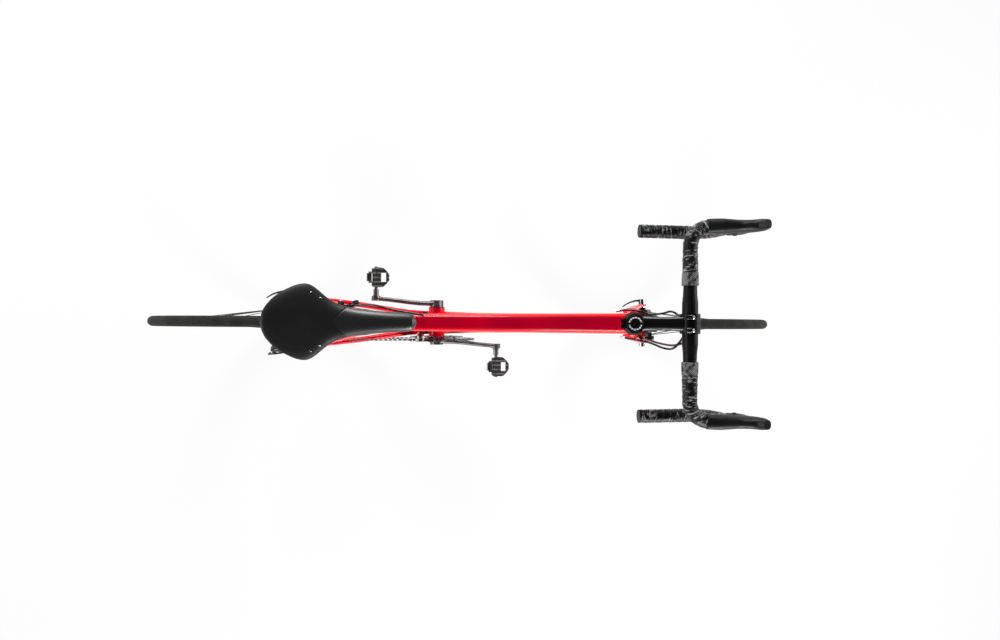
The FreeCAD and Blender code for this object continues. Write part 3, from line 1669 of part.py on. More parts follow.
def chain_link(start, end, inner):
    side = -chain_line
    near = inner_plate_half_gap if inner else inner_plate_half_gap + inner_plate_thickness + plate_clearance
    far = near + (inner_plate_thickness if inner else outer_plate_thickness)
    plates = [
        link_plate(start, end, side + near, side + far),
        link_plate(start, end, side - far, side - near),
    ]
    joined = []
    for px, pz in (start, end):
        if inner:
            joined.append(round_hole(Vector(px, 0, pz), roller_radius, side - near, side + near))
        else:
            joined.append(round_hole(Vector(px, 0, pz), chain_pin_half, side - near, side + near))
    whole = fused(plates + joined)
    if inner:
        for px, pz in (start, end):
            hole = round_hole(Vector(px, 0, pz), chain_pin_half + plate_clearance, side - far, side + far)
            whole = whole.cut(hole)
    return whole


def chain(pins):
    links = []
    count = len(pins)
    for place in range(count):
        links.append(chain_link(pins[place], pins[(place + 1) % count], place % 2 == 0))
    return links


def gap_phase(pins, centre_x, centre_z, radius):
    """Angle about a wheel of the pin that sits deepest on it."""
    best = min(pins, key=lambda pin: abs(math.hypot(pin[0] - centre_x, pin[1] - centre_z) - radius))
    return math.atan2(best[1] - centre_z, best[0] - centre_x)

# ================= PEDALS =================
pedal_inner = 98.0
pedal_outer = 157.0
latch_back = 17.0
latch_up = 3.0
latch_pin_radius = 2.0
latch_half = 11.0


def pedal_middle(side):
    return moved_y(pedal_end(side), side * (pedal_inner + pedal_outer) / 2)


def latch_pivot(side):
    return pedal_middle(side) + Vector(-latch_back, 0, latch_up)


def pedal_body(side):
    """Clipless road pedal: bearing barrel, platform and front hoop, with ears for the latch's pin."""
    middle = pedal_middle(side)
    half = (pedal_outer - pedal_inner) / 2
    barrel = rod(moved_y(middle, middle.y - half + 2), moved_y(middle, middle.y + half - 8), 9.5)
    shape = []
    for forward, across, low, high in (
        (-12, 25, -7, 7), (8, 28, -7, 9), (20, 27, -4, 10), (30, 18, 1, 10), (37, 8, 4, 9.5),
    ):
        points = [
            middle + Vector(forward, -across, low), middle + Vector(forward, across, low),
            middle + Vector(forward, across, high), middle + Vector(forward, -across, high),
        ]
        shape.append(Part.makePolygon(points + [points[0]]))
    platform = Part.makeLoft(shape, True, True)
    window = Part.makeBox(14, 26, 40, Vector(middle.x + 14, middle.y - 13, middle.z - 20))
    ears = []
    for across in (-1, 1):
        inner = middle.y + across * (latch_half + seat_gap)
        outer = middle.y + across * (latch_half + 5)
        ears.append(slab(
            [(middle.x - 6, middle.z - 6), (middle.x - 6, middle.z + 7),
             (middle.x - latch_back - 4, middle.z + 7), (middle.x - latch_back - 4, middle.z - 1)],
            min(inner, outer), max(inner, outer),
        ))
    pivot = latch_pivot(side)
    pin = rod(
        moved_y(pivot, middle.y - latch_half - 5), moved_y(pivot, middle.y + latch_half + 5),
        latch_pin_radius,
    )
    body = fused([barrel, platform] + ears)
    room = Part.makeBox(
        30, 2 * (latch_half + seat_gap), 40,
        Vector(middle.x - 40, middle.y - latch_half - seat_gap, middle.z - 20),
    )
    room = room.cut(Part.makeBox(60, 80, 60, Vector(middle.x - 10.5, middle.y - 40, middle.z - 30)))
    body = body.cut(window).cut(room)
    body = body.fuse(pin)
    face = side * (pedal_face + 20)
    bore = rod(
        moved_y(middle, face), moved_y(middle, side * (pedal_face + pedal_axle_length + 0.5)),
        pedal_axle_radius + running_gap,
    )
    return fused([body]).cut(bore)


def pedal_latch(side):
    """Sprung rear binding of the pedal."""
    pivot = latch_pivot(side)
    low, high = pivot.y - latch_half, pivot.y + latch_half
    hub = rod(moved_y(pivot, low), moved_y(pivot, high), 4.5)
    px, pz = pivot.x, pivot.z
    claw = slab(
        [(px + 3, pz - 2), (px - 1, pz - 9), (px - 7, pz - 8), (px - 10, pz), (px - 8, pz + 7),
         (px - 1, pz + 8), (px + 5, pz + 6.5), (px + 4, pz + 3)], low, high,
    )
    bore = rod(moved_y(pivot, low - 1), moved_y(pivot, high + 1), latch_pin_radius + running_gap)
    return fused([hub, claw]).cut(bore)


# ================= FRONT DERAILLEUR =================
band_height = 124.0
band_width = 13.0
band_thickness = 3.5
link_pin_radius = 2.0
front_link_low = Vector(0, -28.0, 385.0)
front_link_high = Vector(0, -35.0, 411.0)
front_link_x = (-148.0, -138.0)
cage_plate = 1.1
cage_inner_side = -chain_line + 4.4
cage_outer_side = -chain_line - 4.3


def front_derailleur_bracket():
    """Band round the seat tube with the fixed pin of the link."""
    middle = along_seat(band_height)
    band = pipe_between(
        along_seat(band_height - band_width / 2), along_seat(band_height + band_width / 2),
        seat_tube_radius + band_thickness, seat_tube_radius,
    )
    low, high = front_link_x
    pin_y, pin_z = front_link_low.y, front_link_low.z
    block = Part.makeBox(15, 17, 11, Vector(high + 1.3, pin_y - 3.5, pin_z - 6))
    block = block.cut(rod(along_seat(band_height - 20), along_seat(band_height + 20), seat_tube_radius))
    pin = Part.makeCylinder(link_pin_radius, high + 4 - low, Vector(low, pin_y, pin_z), x_axis)
    clamp_ear = Part.makeBox(
        12, 12, band_width - 2,
        Vector(middle.x - 6, seat_tube_radius + 1, middle.z - band_width / 2 + 1),
    )
    clamp_ear = clamp_ear.cut(
        rod(along_seat(band_height - 20), along_seat(band_height + 20), seat_tube_radius),
    )
    slit = Part.makeBox(
        1.2, 20, band_width + 12,
        Vector(middle.x - 0.6, seat_tube_radius - 2, middle.z - band_width / 2 - 6),
    )
    whole = fused([band, block, pin, clamp_ear]).cut(slit)
    bolt = Part.makeCylinder(2.2, 16, Vector(middle.x - 8, seat_tube_radius + 8, middle.z), x_axis)
    head = Part.makeCylinder(3.8, 3, Vector(middle.x + 6, seat_tube_radius + 8, middle.z), x_axis)
    bolt = fused([bolt, head])
    return [largest(whole.cut(bolt)), bolt]


def front_derailleur_link():
    low, high = front_link_x
    start = Vector(low, front_link_low.y, front_link_low.z)
    end = Vector(low, front_link_high.y, front_link_high.z)
    width = high - low
    eye = Part.makeCylinder(4.6, width, start, x_axis)
    far_eye = Part.makeCylinder(4.6, width, end, x_axis)
    run = unit(end - start)
    side = run.cross(x_axis) * 3.0
    bar = polygon_face([start - side, start + side, end + side, end - side]).extrude(x_axis * width)
    corners = [end - side, end + side, end + side + run * 12, end - side * 0.2 + run * 13]
    tail = polygon_face(corners).extrude(x_axis * width * 0.5)
    pin = Part.makeCylinder(link_pin_radius, width + 8.6, Vector(low - 4.3, end.y, end.z), x_axis)
    bore = Part.makeCylinder(link_pin_radius + running_gap, width + 20, start - x_axis * 10, x_axis)
    return fused([eye, far_eye, bar, tail, pin]).cut(bore)


def front_derailleur_cage():
    """Two guide plates round the chain with their bridges and the cheeks that hang them on the link."""
    bx, bz = bottom_bracket.x, bottom_bracket.z
    inner = slab(
        [(bx + 9, bz + 103), (bx - 10, bz + 102), (bx - 30, bz + 96), (bx - 50, bz + 88), (bx - 73, bz + 93),
         (bx - 75, bz + 112), (bx - 52, bz + 124), (bx - 20, bz + 127), (bx + 9, bz + 120)],
        cage_inner_side - cage_plate, cage_inner_side,
    )
    outer = slab(
        [(bx + 9, bz + 111), (bx - 8, bz + 110), (bx - 27, bz + 106.5), (bx - 47, bz + 99.5),
         (bx - 73, bz + 96), (bx - 75, bz + 110), (bx - 52, bz + 122), (bx - 20, bz + 125),
         (bx + 9, bz + 119)],
        cage_outer_side, cage_outer_side + cage_plate,
    )
    width = cage_inner_side - cage_outer_side
    low, high = front_link_x
    top = Part.makeBox(44, width, 3, Vector(low - 4.3, cage_outer_side, bz + 119.5))
    tail = Part.makeBox(4, width, 2, Vector(bx - 75, cage_outer_side, bz + 96.5))
    cheeks = []
    for near, far in ((low - 4.3, low - 0.3), (high + 0.3, high + 4.0)):
        corners = []
        for side, height in (
            (-30.5, 408), (-36, 416), (-41, 412), (-50, 391), (cage_inner_side - 0.5, 385.5),
        ):
            corners.append(Vector(near, side, height))
        cheeks.append(polygon_face(corners).extrude(x_axis * (far - near)))
    bore = Part.makeCylinder(
        link_pin_radius + running_gap, 60, Vector(low - 30, front_link_high.y, front_link_high.z), x_axis
    )
    return fused([inner, outer, top, tail] + cheeks).cut(bore)


# ================= REAR DERAILLEUR =================
link_length = 50.0
link_rest_angle = 8.0
link_slant = 35.0
link_spread = 12.0
link_thickness = 4.4
link_eye_radius = 4.4
link_half = 5.0
cheek_gap = 0.35
cheek_thickness = 2.4
cage_half_gap = 4.2
cage_thickness = 1.4
cage_pin_radius = 4.0
pulley_pin_radius = 2.5
pulley_thickness = 2.0
open_pivot_clearance = 0.3
link_room_degrees = (-24, -16, -8, 0, 8, 16, 24, 32, 38)
link_heading = unit(Vector(0.94, 0, -0.34))
link_side = unit(
    y_axis * math.cos(math.radians(link_slant))
    - Vector(0.34, 0, 0.94) * math.sin(math.radians(link_slant))
)
link_side = unit(link_side - link_heading * link_side.dot(link_heading))
link_axis = link_heading.cross(link_side)
guide_centre = moved_y(rear_axle + guide_centre_offset, -chain_line)
link_run = (
    link_heading * math.cos(math.radians(link_rest_angle))
    + link_side * math.sin(math.radians(link_rest_angle))
)
knuckle_outer_pin = guide_centre + Vector(-10, -26, 12)
knuckle_inner_pin = knuckle_outer_pin + link_side * link_spread
bracket_outer_pin = knuckle_outer_pin - link_run * link_length
bracket_inner_pin = knuckle_inner_pin - link_run * link_length


snug_eye = link_pin_radius + running_gap
open_eye = link_pin_radius + open_pivot_clearance


def parallelogram_link(start, end, near_hole, far_hole):
    """Bar with an eye at each end; the two bores may differ."""
    side = link_run.cross(link_axis) * (link_thickness / 2)
    eyes = [
        rod(point - link_axis * link_half, point + link_axis * link_half, link_eye_radius)
        for point in (start, end)
    ]
    low = start - link_axis * link_half
    high = end - link_axis * link_half
    bar = polygon_face([low - side, low + side, high + side, high - side]).extrude(link_axis * 2 * link_half)
    window = polygon_face([
        low + (high - low) * 0.3 + side * 3 + link_axis * 2.4,
        low + (high - low) * 0.7 + side * 3 + link_axis * 2.4,
        low + (high - low) * 0.7 + side * 3 + link_axis * 7.6,
        low + (high - low) * 0.3 + side * 3 + link_axis * 7.6,
    ]).extrude(side * -6)
    body = fused(eyes + [bar]).cut(window)
    body = body.cut(rod(start - link_axis * 20, start + link_axis * 20, near_hole))
    return body.cut(rod(end - link_axis * 20, end + link_axis * 20, far_hole))


def knuckle_cheeks(outer, inner, backwards):
    """Two cheeks and a web that hold the pins of both links."""
    inside = link_half + cheek_gap
    away = link_run * backwards
    across = unit(inner - outer)
    a = outer - across * 4.5
    b = inner + across * 4.5
    corners = [a + away * 9, a - away * 3.6, b - away * 3.6, b + away * 9]
    cheeks = []
    for direction in (-1, 1):
        base = [corner + link_axis * direction * inside for corner in corners]
        cheeks.append(polygon_face(base).extrude(link_axis * direction * cheek_thickness))
    depth = inside + cheek_thickness
    web_corners = [a + away * 5.4, a + away * 9, b + away * 9, b + away * 5.4]
    web = polygon_face([corner - link_axis * depth for corner in web_corners]).extrude(link_axis * 2 * depth)
    pins = [
        rod(point - link_axis * depth, point + link_axis * depth, link_pin_radius)
        for point in (outer, inner)
    ]
    return cheeks + [web] + pins


def link_room(outer, inner, forwards):
    """Space that both links sweep beside a knuckle, between its cheeks, but for the pins."""
    inside = link_half + cheek_gap
    spread = link_thickness / 2 + 0.5
    rooms = []
    for pin in (outer, inner):
        eye = rod(pin - link_axis * inside, pin + link_axis * inside, link_eye_radius + 0.5)
        base = pin - link_axis * inside
        side = link_run.cross(link_axis) * spread
        bar = polygon_face([
            base - side, base + side, base + side + link_run * (forwards * link_length / 2),
            base - side + link_run * (forwards * link_length / 2),
        ]).extrude(link_axis * (2 * inside))
        swung = [turned(bar, pin, link_axis, degrees) for degrees in link_room_degrees]
        pin_rod = rod(pin - link_axis * inside, pin + link_axis * inside, link_pin_radius)
        rooms.append(fused([eye] + swung).cut(pin_rod))
    return rooms


def rear_derailleur_bracket():
    """Upper knuckle on the hanger bolt."""
    face = hanger_point()
    boss = rod(face, face - y_axis * 15, 10.0)
    bolt = rod(face + y_axis * dropout_thickness, face, hanger_bolt_radius)
    web = (bracket_outer_pin + bracket_inner_pin) * 0.5 - link_run * 7.2
    arm = cone_between(face - y_axis * 8, web, 8.0, 6.5)
    stop = rod(web - link_axis * 6.5, web + link_axis * 6.5, 5.5)
    solid = fused([boss, arm, stop, bolt] + knuckle_cheeks(bracket_outer_pin, bracket_inner_pin, -1))
    for room in link_room(bracket_outer_pin, bracket_inner_pin, 1):
        solid = solid.cut(room)
    return [largest(solid.cut(derailleur_hanger()))]


def rear_derailleur_knuckle():
    """Lower knuckle, which carries the cage on its own pin."""
    top = guide_centre - y_axis * (cage_half_gap + cage_thickness + seat_gap)
    far = top - y_axis * 17
    housing = rod(top, far, 11.5)
    cap = rod(far, far - y_axis * 2.5, 9.0)
    middle = (knuckle_outer_pin + knuckle_inner_pin) * 0.5 + link_run * 7.2
    stop = rod(middle - link_axis * 6.5, middle + link_axis * 6.5, 5.5)
    arm = cone_between(far + y_axis * 9, middle, 8.0, 6.0)
    pin = rod(top, guide_centre - y_axis * (cage_half_gap + 0.2), cage_pin_radius)
    solid = fused([housing, cap, stop, arm, pin] + knuckle_cheeks(knuckle_outer_pin, knuckle_inner_pin, 1))
    for room in link_room(knuckle_outer_pin, knuckle_inner_pin, -1):
        solid = solid.cut(room)
    return [largest(solid)]


def tension_centre(cage_angle):
    return guide_centre + Vector(math.cos(cage_angle), 0, math.sin(cage_angle)) * pulley_distance


def cage_outline(cage_angle, half_width):
    """Rounded bar shape round both pulley centres, in the cage's own plane."""
    along = Vector(math.cos(cage_angle), 0, math.sin(cage_angle))
    across = Vector(-math.sin(cage_angle), 0, math.cos(cage_angle))
    points = []
    for forward, out in ((-9, 0.5), (-5, 0.95), (8, 1.0), (28, 0.7), (46, 0.9), (60, 0.9), (66, 0.45)):
        points.append(guide_centre + along * forward + across * out * half_width)
    for forward, out in ((66, -0.45), (60, -0.9), (46, -0.9), (28, -0.7), (8, -1.0), (-5, -0.95), (-9, -0.5)):
        points.append(guide_centre + along * forward + across * out * half_width)
    return [(point.x, point.z) for point in points]


def rear_derailleur_cage(cage_angle):
    side = -chain_line
    shape = cage_outline(cage_angle, 9.5)
    outer = slab(shape, side - cage_half_gap - cage_thickness, side - cage_half_gap)
    inner = slab(cage_outline(cage_angle, 7.5), side + cage_half_gap, side + cage_half_gap + cage_thickness)
    outer = outer.cut(round_hole(guide_centre, cage_pin_radius + running_gap))
    tension = tension_centre(cage_angle)
    middle = (guide_centre + tension) * 0.5
    lower_hole = guide_centre + (tension - guide_centre) * 0.33
    outer = outer.cut(round_hole(middle, 3.2)).cut(round_hole(lower_hole, 2.6))
    pulley_pins = []
    for centre in (guide_centre, tension):
        low = side - cage_half_gap if centre is not guide_centre else side - cage_half_gap + 0.6
        pulley_pins.append(rod(
            moved_y(centre, low), moved_y(centre, side + cage_half_gap), pulley_pin_radius))
        pulley_pins.append(rod(
            moved_y(centre, side + cage_half_gap + cage_thickness),
            moved_y(centre, side + cage_half_gap + cage_thickness + 1.2), 4.2))
    return fused([outer, inner] + pulley_pins)


def jockey_pulley(centre, phase):
    disc = toothed_disc((centre.x, centre.z), pulley_teeth, centre.y, pulley_thickness, phase)
    hub = rod(moved_y(centre, centre.y - 3.2), moved_y(centre, centre.y + 3.2), 6.0)
    for step in range(5):
        angle = 2 * math.pi * step / 5
        hole = centre + Vector(math.cos(angle) * 12.5, 0, math.sin(angle) * 12.5)
        disc = disc.cut(round_hole(hole, 2.6))
    bore = round_hole(centre, pulley_pin_radius + running_gap)
    return [disc.fuse(hub).removeSplitter().cut(bore)]


# ================= SEAT =================
post_bottom = 350.0
post_head_height = 652.0        # along the seat tube's axis
post_wall = 2.2
clamp_centre = Vector(-303.0, 0, 905.0)
rail_radius = 3.5
rail_side = 22.0
rail_front = -192.0
rail_rear = -402.0
collar_height = 17.0
collar_thickness = 4.2


def seat_clamp():
    """Collar round the top of the seat tube with its bolt."""
    low = seat_tube_length - collar_height
    ring = pipe_between(
        along_seat(low), along_seat(seat_tube_length), seat_tube_radius + collar_thickness,
        seat_tube_radius,
    )
    lug = Part.makeBox(11, 17, collar_height - 2, Vector(-seat_tube_radius - 11, -8.5, 1))
    lug.rotate(Vector(0, 0, 0), y_axis, -(90 - seat_angle))
    lug.translate(along_seat(low))
    lug = lug.cut(rod(along_seat(low - 2), along_seat(seat_tube_length + 2), seat_tube_radius))
    slit = Part.makeBox(30, 2.0, collar_height + 4, Vector(-seat_tube_radius - 28, -1.0, -2))
    slit.rotate(Vector(0, 0, 0), y_axis, -(90 - seat_angle))
    slit.translate(along_seat(low))
    middle = along_seat(low + collar_height / 2, -seat_tube_radius - 6.5)
    bolt = fused([
        rod(moved_y(middle, -8.5), moved_y(middle, 9.5), 2.5),
        rod(moved_y(middle, 8.5), moved_y(middle, 12), 4.4)
    ])
    body = fused([ring, lug]).cut(slit).cut(bolt)
    return [largest(body), bolt]


def bottle_bosses():
    """Threaded inserts for the bottle cages, each with a flange on the tube's skin."""
    made = []
    for place, out in boss_places():
        thread = rod(place - out * (boss_depth + 1), place + out * (boss_stand + 1), boss_bolt_radius)
        made.append(boss_outside(place, out).cut(thread))
    return made


def seatpost():
    """Post with its two-piece rail clamp."""
    head = along_seat(post_head_height)
    post = rod(along_seat(post_bottom), head, seatpost_radius)
    bore = rod(along_seat(post_bottom - 1), along_seat(post_head_height - 30), seatpost_radius - post_wall)
    cradle_length = 38.0
    base_z = clamp_centre.z
    neck_foot = 2 * seatpost_radius + 1.6
    neck = loft([
        outline(along_seat(post_head_height - 14), seat_up, neck_foot, neck_foot),
        outline(clamp_centre + Vector(2, 0, -17), z_axis, 30, 32, 2.6),
        outline(clamp_centre + Vector(0, 0, -7), z_axis, 34, 34, 3.0),
    ])
    cradle = Part.makeBox(
        cradle_length, 2 * rail_side + 13, 7,
        Vector(clamp_centre.x - cradle_length / 2, -rail_side - 6.5, base_z - 7),
    )
    lid = Part.makeBox(
        cradle_length, 2 * rail_side + 13, 5.5,
        Vector(clamp_centre.x - cradle_length / 2, -rail_side - 6.5, base_z + 0.4),
    )
    rails = [
        Part.makeCylinder(rail_radius, 80, Vector(clamp_centre.x - 40, side * rail_side, base_z), x_axis)
        for side in (-1, 1)
    ]
    body = fused([post.cut(bore), neck, cradle])
    bolts = []
    for forward in (-12, 12):
        start = clamp_centre + Vector(forward, 0, -14)
        end = start + z_axis * 23
        bolts.append(fused([rod(start, end, 2.8), rod(end - z_axis * 3.1, end, 5.0)]))
    for cutter in rails + bolts:
        body = body.cut(cutter)
        lid = lid.cut(cutter)
    return [largest(body), largest(lid)] + bolts


saddle_nose = -159.0
saddle_stations = (
    # from the nose backwards: distance, half width, top height, thickness
    (0, 12, 947, 17), (8, 16, 950, 22), (60, 19.8, 951, 27), (112, 24.3, 949, 27),
    (142, 31, 947, 26), (162, 44, 946, 25), (181, 61, 948, 24), (202, 69, 951, 24),
    (228, 62, 955, 22), (246, 48, 957, 20), (258, 37, 957.5, 17), (270, 25, 957, 11),
)


def saddle_section(distance, half, top, thickness, shrink=0.0, lower=0.0):
    """Cross-section of the saddle: crowned above and nearly flat below."""
    centre = Vector(saddle_nose - distance, 0, top - thickness / 2 - lower)
    return outline(centre, x_axis, 2 * (half - shrink), thickness, 2.5)


def saddle():
    cover = loft([saddle_section(*station) for station in saddle_stations])
    base = loft([
        saddle_section(distance, half, top - thickness + 3.0, 7.0, 4.0)
        for distance, half, top, thickness in saddle_stations[1:-1]
    ])
    base = base.cut(cover)
    return cover, largest(base)


def rail_points(side):
    z_low = clamp_centre.z
    return [
        Vector(rail_front, side * 7, 921), Vector(rail_front - 22, side * 9, 914),
        Vector(rail_front - 58, side * rail_side, z_low),
        Vector(clamp_centre.x - 36, side * rail_side, z_low),
        Vector(rail_rear + 26, side * 30, 921), Vector(rail_rear, side * 33, 930),
    ]


def saddle_rails(cover, base):
    """Two bent rails and their sockets under the shell."""
    rails = []
    for side in (-1, 1):
        rails.append(swept(rounded_wire(rail_points(side), share=0.4), rail_radius))
    front_block = Part.makeBox(20, 26, 22, Vector(rail_front - 6, -13, 912))
    blocks = [front_block]
    for side in (-1, 1):
        blocks.append(Part.makeBox(18, 18, 20, Vector(rail_rear - 6, side * 33 - 9, 922)))
    made = []
    for block in blocks:
        block = block.cut(cover).cut(base)
        for rail in rails:
            block = block.cut(rail)
        made.append(largest(block))
    return [rail.cut(base).cut(cover) for rail in rails] + made


# ================= CABLES =================
housing_radius = 2.4
cable_entry = tape_start - 0.3      # housings run under the tape here


def housing(points, share=0.45):
    wire = rounded_wire(points, share=share)
    return swept(wire, housing_radius)


def rear_barrel_top():
    stand_off = 17.0
    origin = bridge_point()
    outwards = bridge_forward() * -1
    up = stay_line()
    return origin + y_axis * 36 + up * 44 + outwards * (stand_off + arm_thickness / 2), up


def front_barrel_top():
    stand_off = 31.0
    origin = along_steering(brake_bolt_height)
    return origin - y_axis * 36 + steer_up * 44 + steer_forward * (stand_off + arm_thickness / 2), steer_up


def rear_brake_cable():
    top, up = rear_barrel_top()
    start = top + up * 0.4
    return [
        start, start + up * 14, Vector(-272, 37, 727), Vector(-247, 36, 746),
        Vector(-218, 29, 760), Vector(-188, 22.5, 769), Vector(-158, 18, 774), Vector(-142, 14.5, 776),
    ]


def derailleur_cable():
    """Housing from the end of the chainstay round to the back of the rear derailleur."""
    return [
        Vector(-452, -77.5, 326), Vector(-474, -79.5, 322.5), Vector(-503, -83, 321.8),
        Vector(-534, -87, 322),
        Vector(-553, -89, 310), Vector(-555, -88, 296), Vector(-553, -86, 286),
    ]


def front_brake_cable():
    top, up = front_barrel_top()
    start = top + up * 0.4
    return [
        start, start + up * 16, from_bar(-8, -44, -118), from_bar(-15, -51, -82),
        from_bar(-19.5, -50, -46), from_bar(-19.0, -36, -14), from_bar(-17.6, -52, -4),
        from_bar(-16.6, -cable_entry, -1),
    ]


def shift_cable(side):
    return [
        from_bar(-16.2, side * cable_entry, 4), from_bar(-17.8, side * 50, 5), from_bar(-19.4, side * 32, 0),
        from_bar(-19, side * 34, -26), from_bar(-32, side * 42, -50), from_bar(-52, side * 42, -76),
        from_bar(-76, side * 35, -105), from_bar(-98, side * 30, -136),
    ]


def steering_rear_brake_cable():
    return [
        from_bar(-13.4, cable_entry, -9.8), from_bar(-18, 52, -11), from_bar(-26, 40, -20),
        from_bar(-48, 36, -40),
        from_bar(-72, 34, -64), from_bar(-96, 30, -84), from_bar(-122, 27, -97),
    ]


# ================= THE WHOLE BICYCLE =================
def build_cockpit():
    return {
        "fork": fork(),
        "headset": headset(),
        "stem": stem(),
        "stem_faceplate": stem_faceplate(),
        "handlebar": handlebar(),
        "bar_tape": bar_tape(),
        "brake_hoods": [brake_hood(1), brake_hood(-1)],
        "left_brake_lever": [brake_lever(1)],
        "right_brake_lever": [brake_lever(-1)],
        "left_shift_paddle": [shift_paddle(1)],
        "right_shift_paddle": [shift_paddle(-1)],
    }


def build_brakes():
    front_centre, front_side, front_bolt = front_brake()
    rear_centre, rear_side, rear_bolt = rear_brake()
    return {
        "front_caliper_left": front_centre,
        "front_caliper_right": front_side,
        "rear_caliper_right": rear_centre,
        "rear_caliper_left": rear_side,
        "front_bolt": front_bolt,
        "rear_bolt": rear_bolt,
    }


def build_drivetrain():
    cage_angle = solved_cage_angle()
    pins, miss = chain_pins(cage_angle)
    print("cage angle", round(math.degrees(cage_angle), 2), "chain closes within", round(miss, 5))

    def phase(centre, teeth):
        return gap_phase(pins, centre.x, centre.z, pitch_radius(teeth))

    tension = tension_centre(cage_angle)
    rings, ring_bolts = chainrings(phase(bottom_bracket, outer_ring_teeth))
    crank_pieces = cranks()
    for bolt in ring_bolts:
        crank_pieces[0] = crank_pieces[0].cut(bolt)
    crank_pieces[0] = largest(crank_pieces[0])
    return {
        "cranks": crank_pieces,
        "chainrings": rings,
        "cassette": cassette(phase(rear_axle, cog_teeth[chain_cog])),
        "chain": chain(pins),
        "left_pedal": [pedal_body(1)],
        "right_pedal": [pedal_body(-1)],
        "left_pedal_latch": [pedal_latch(1)],
        "right_pedal_latch": [pedal_latch(-1)],
        "front_derailleur_bracket": front_derailleur_bracket(),
        "front_derailleur_link": [front_derailleur_link()],
        "front_derailleur_cage": [front_derailleur_cage()],
        "rear_derailleur_bracket": rear_derailleur_bracket(),
        "rear_derailleur_outer_link": [
            parallelogram_link(bracket_outer_pin, knuckle_outer_pin, snug_eye, snug_eye)
        ],
        "rear_derailleur_inner_link": [
            parallelogram_link(bracket_inner_pin, knuckle_inner_pin, snug_eye, open_eye)
        ],
        "rear_derailleur_knuckle": rear_derailleur_knuckle(),
        "rear_derailleur_cage": [rear_derailleur_cage(cage_angle)],
        "guide_pulley": jockey_pulley(guide_centre, phase(guide_centre, pulley_teeth)),
        "tension_pulley": jockey_pulley(moved_y(tension, -chain_line), phase(tension, pulley_teeth)),
    }


def build_seat():
    cover, base = saddle()
    return {
        "seat_clamp": seat_clamp(),
        "seatpost": seatpost(),
        "saddle_cover": [cover],
        "saddle_base": [base] + saddle_rails(cover, base),
    }


def build_cables():
    return {
        "frame_cables": [housing(rear_brake_cable()), housing(derailleur_cable())],
        "steering_cables": [
            housing(shift_cable(1)), housing(shift_cable(-1)), housing(steering_rear_brake_cable()),
            housing(front_brake_cable()),
        ],
    }


def build_bicycle():
    parts = {}
    parts.update(build_frame())
    parts["bearing_cups"] = bearing_cups()
    parts["bottle_bosses"] = bottle_bosses()
    parts.update(build_wheels())
    parts.update(build_cockpit())
    brakes = build_brakes()
    parts["fork"] = parts["fork"] + brakes.pop("front_bolt")
    parts["seatstays"] = parts["seatstays"] + brakes.pop("rear_bolt")
    parts.update(brakes)
    hub_end = front_spacing / 2 - 4
    parts["front_axle"] = axle_set(front_axle, front_spacing, hub_end, hub_end)
    parts["rear_axle"] = axle_set(
        rear_axle, rear_spacing, rear_spacing / 2 - 5, cog_thickness / 2 - cog_side(0))
    parts["front_qr_lever"] = [qr_lever(front_axle, front_spacing)]
    parts["rear_qr_lever"] = [qr_lever(rear_axle, rear_spacing)]
    parts.update(build_drivetrain())
    parts.update(build_seat())
    parts.update(build_cables())
    return parts


def write_parts(parts):
    os.makedirs("parts", exist_ok=True)
    for node, solids in parts.items():
        whole = solids[0] if len(solids) == 1 else Part.makeCompound(solids)
        whole.exportStep("parts/%s.step" % node)


bicycle = build_bicycle()
write_parts(bicycle)
print(len(bicycle), "nodes,", sum(len(solids) for solids in bicycle.values()), "solids")
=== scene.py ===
import math

import bmesh
import bpy
import numpy as np
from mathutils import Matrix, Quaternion, Vector, noise


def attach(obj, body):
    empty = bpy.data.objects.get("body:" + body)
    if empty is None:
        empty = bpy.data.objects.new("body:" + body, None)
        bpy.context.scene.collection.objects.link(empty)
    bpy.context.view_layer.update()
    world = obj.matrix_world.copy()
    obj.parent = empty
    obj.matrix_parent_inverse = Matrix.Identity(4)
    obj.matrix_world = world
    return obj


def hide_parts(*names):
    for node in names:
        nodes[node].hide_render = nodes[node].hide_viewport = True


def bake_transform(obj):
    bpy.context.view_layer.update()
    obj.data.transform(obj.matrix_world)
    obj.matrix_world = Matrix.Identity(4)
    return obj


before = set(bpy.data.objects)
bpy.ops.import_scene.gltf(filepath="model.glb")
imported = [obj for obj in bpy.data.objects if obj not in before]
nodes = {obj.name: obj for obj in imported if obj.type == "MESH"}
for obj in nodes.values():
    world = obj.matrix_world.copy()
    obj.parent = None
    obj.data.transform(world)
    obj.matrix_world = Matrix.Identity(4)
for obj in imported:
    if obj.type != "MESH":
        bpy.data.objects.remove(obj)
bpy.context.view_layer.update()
scene = bpy.context.scene
barCentre = Vector((0.38987, 0.0, 0.89849))
steerAxis = Vector((-0.2923717, 0.0, 0.9563048))
wheels = {"front": Vector((0.4945, 0.0, 0.336)), "rear": Vector((-0.4945, 0.0, 0.336))}


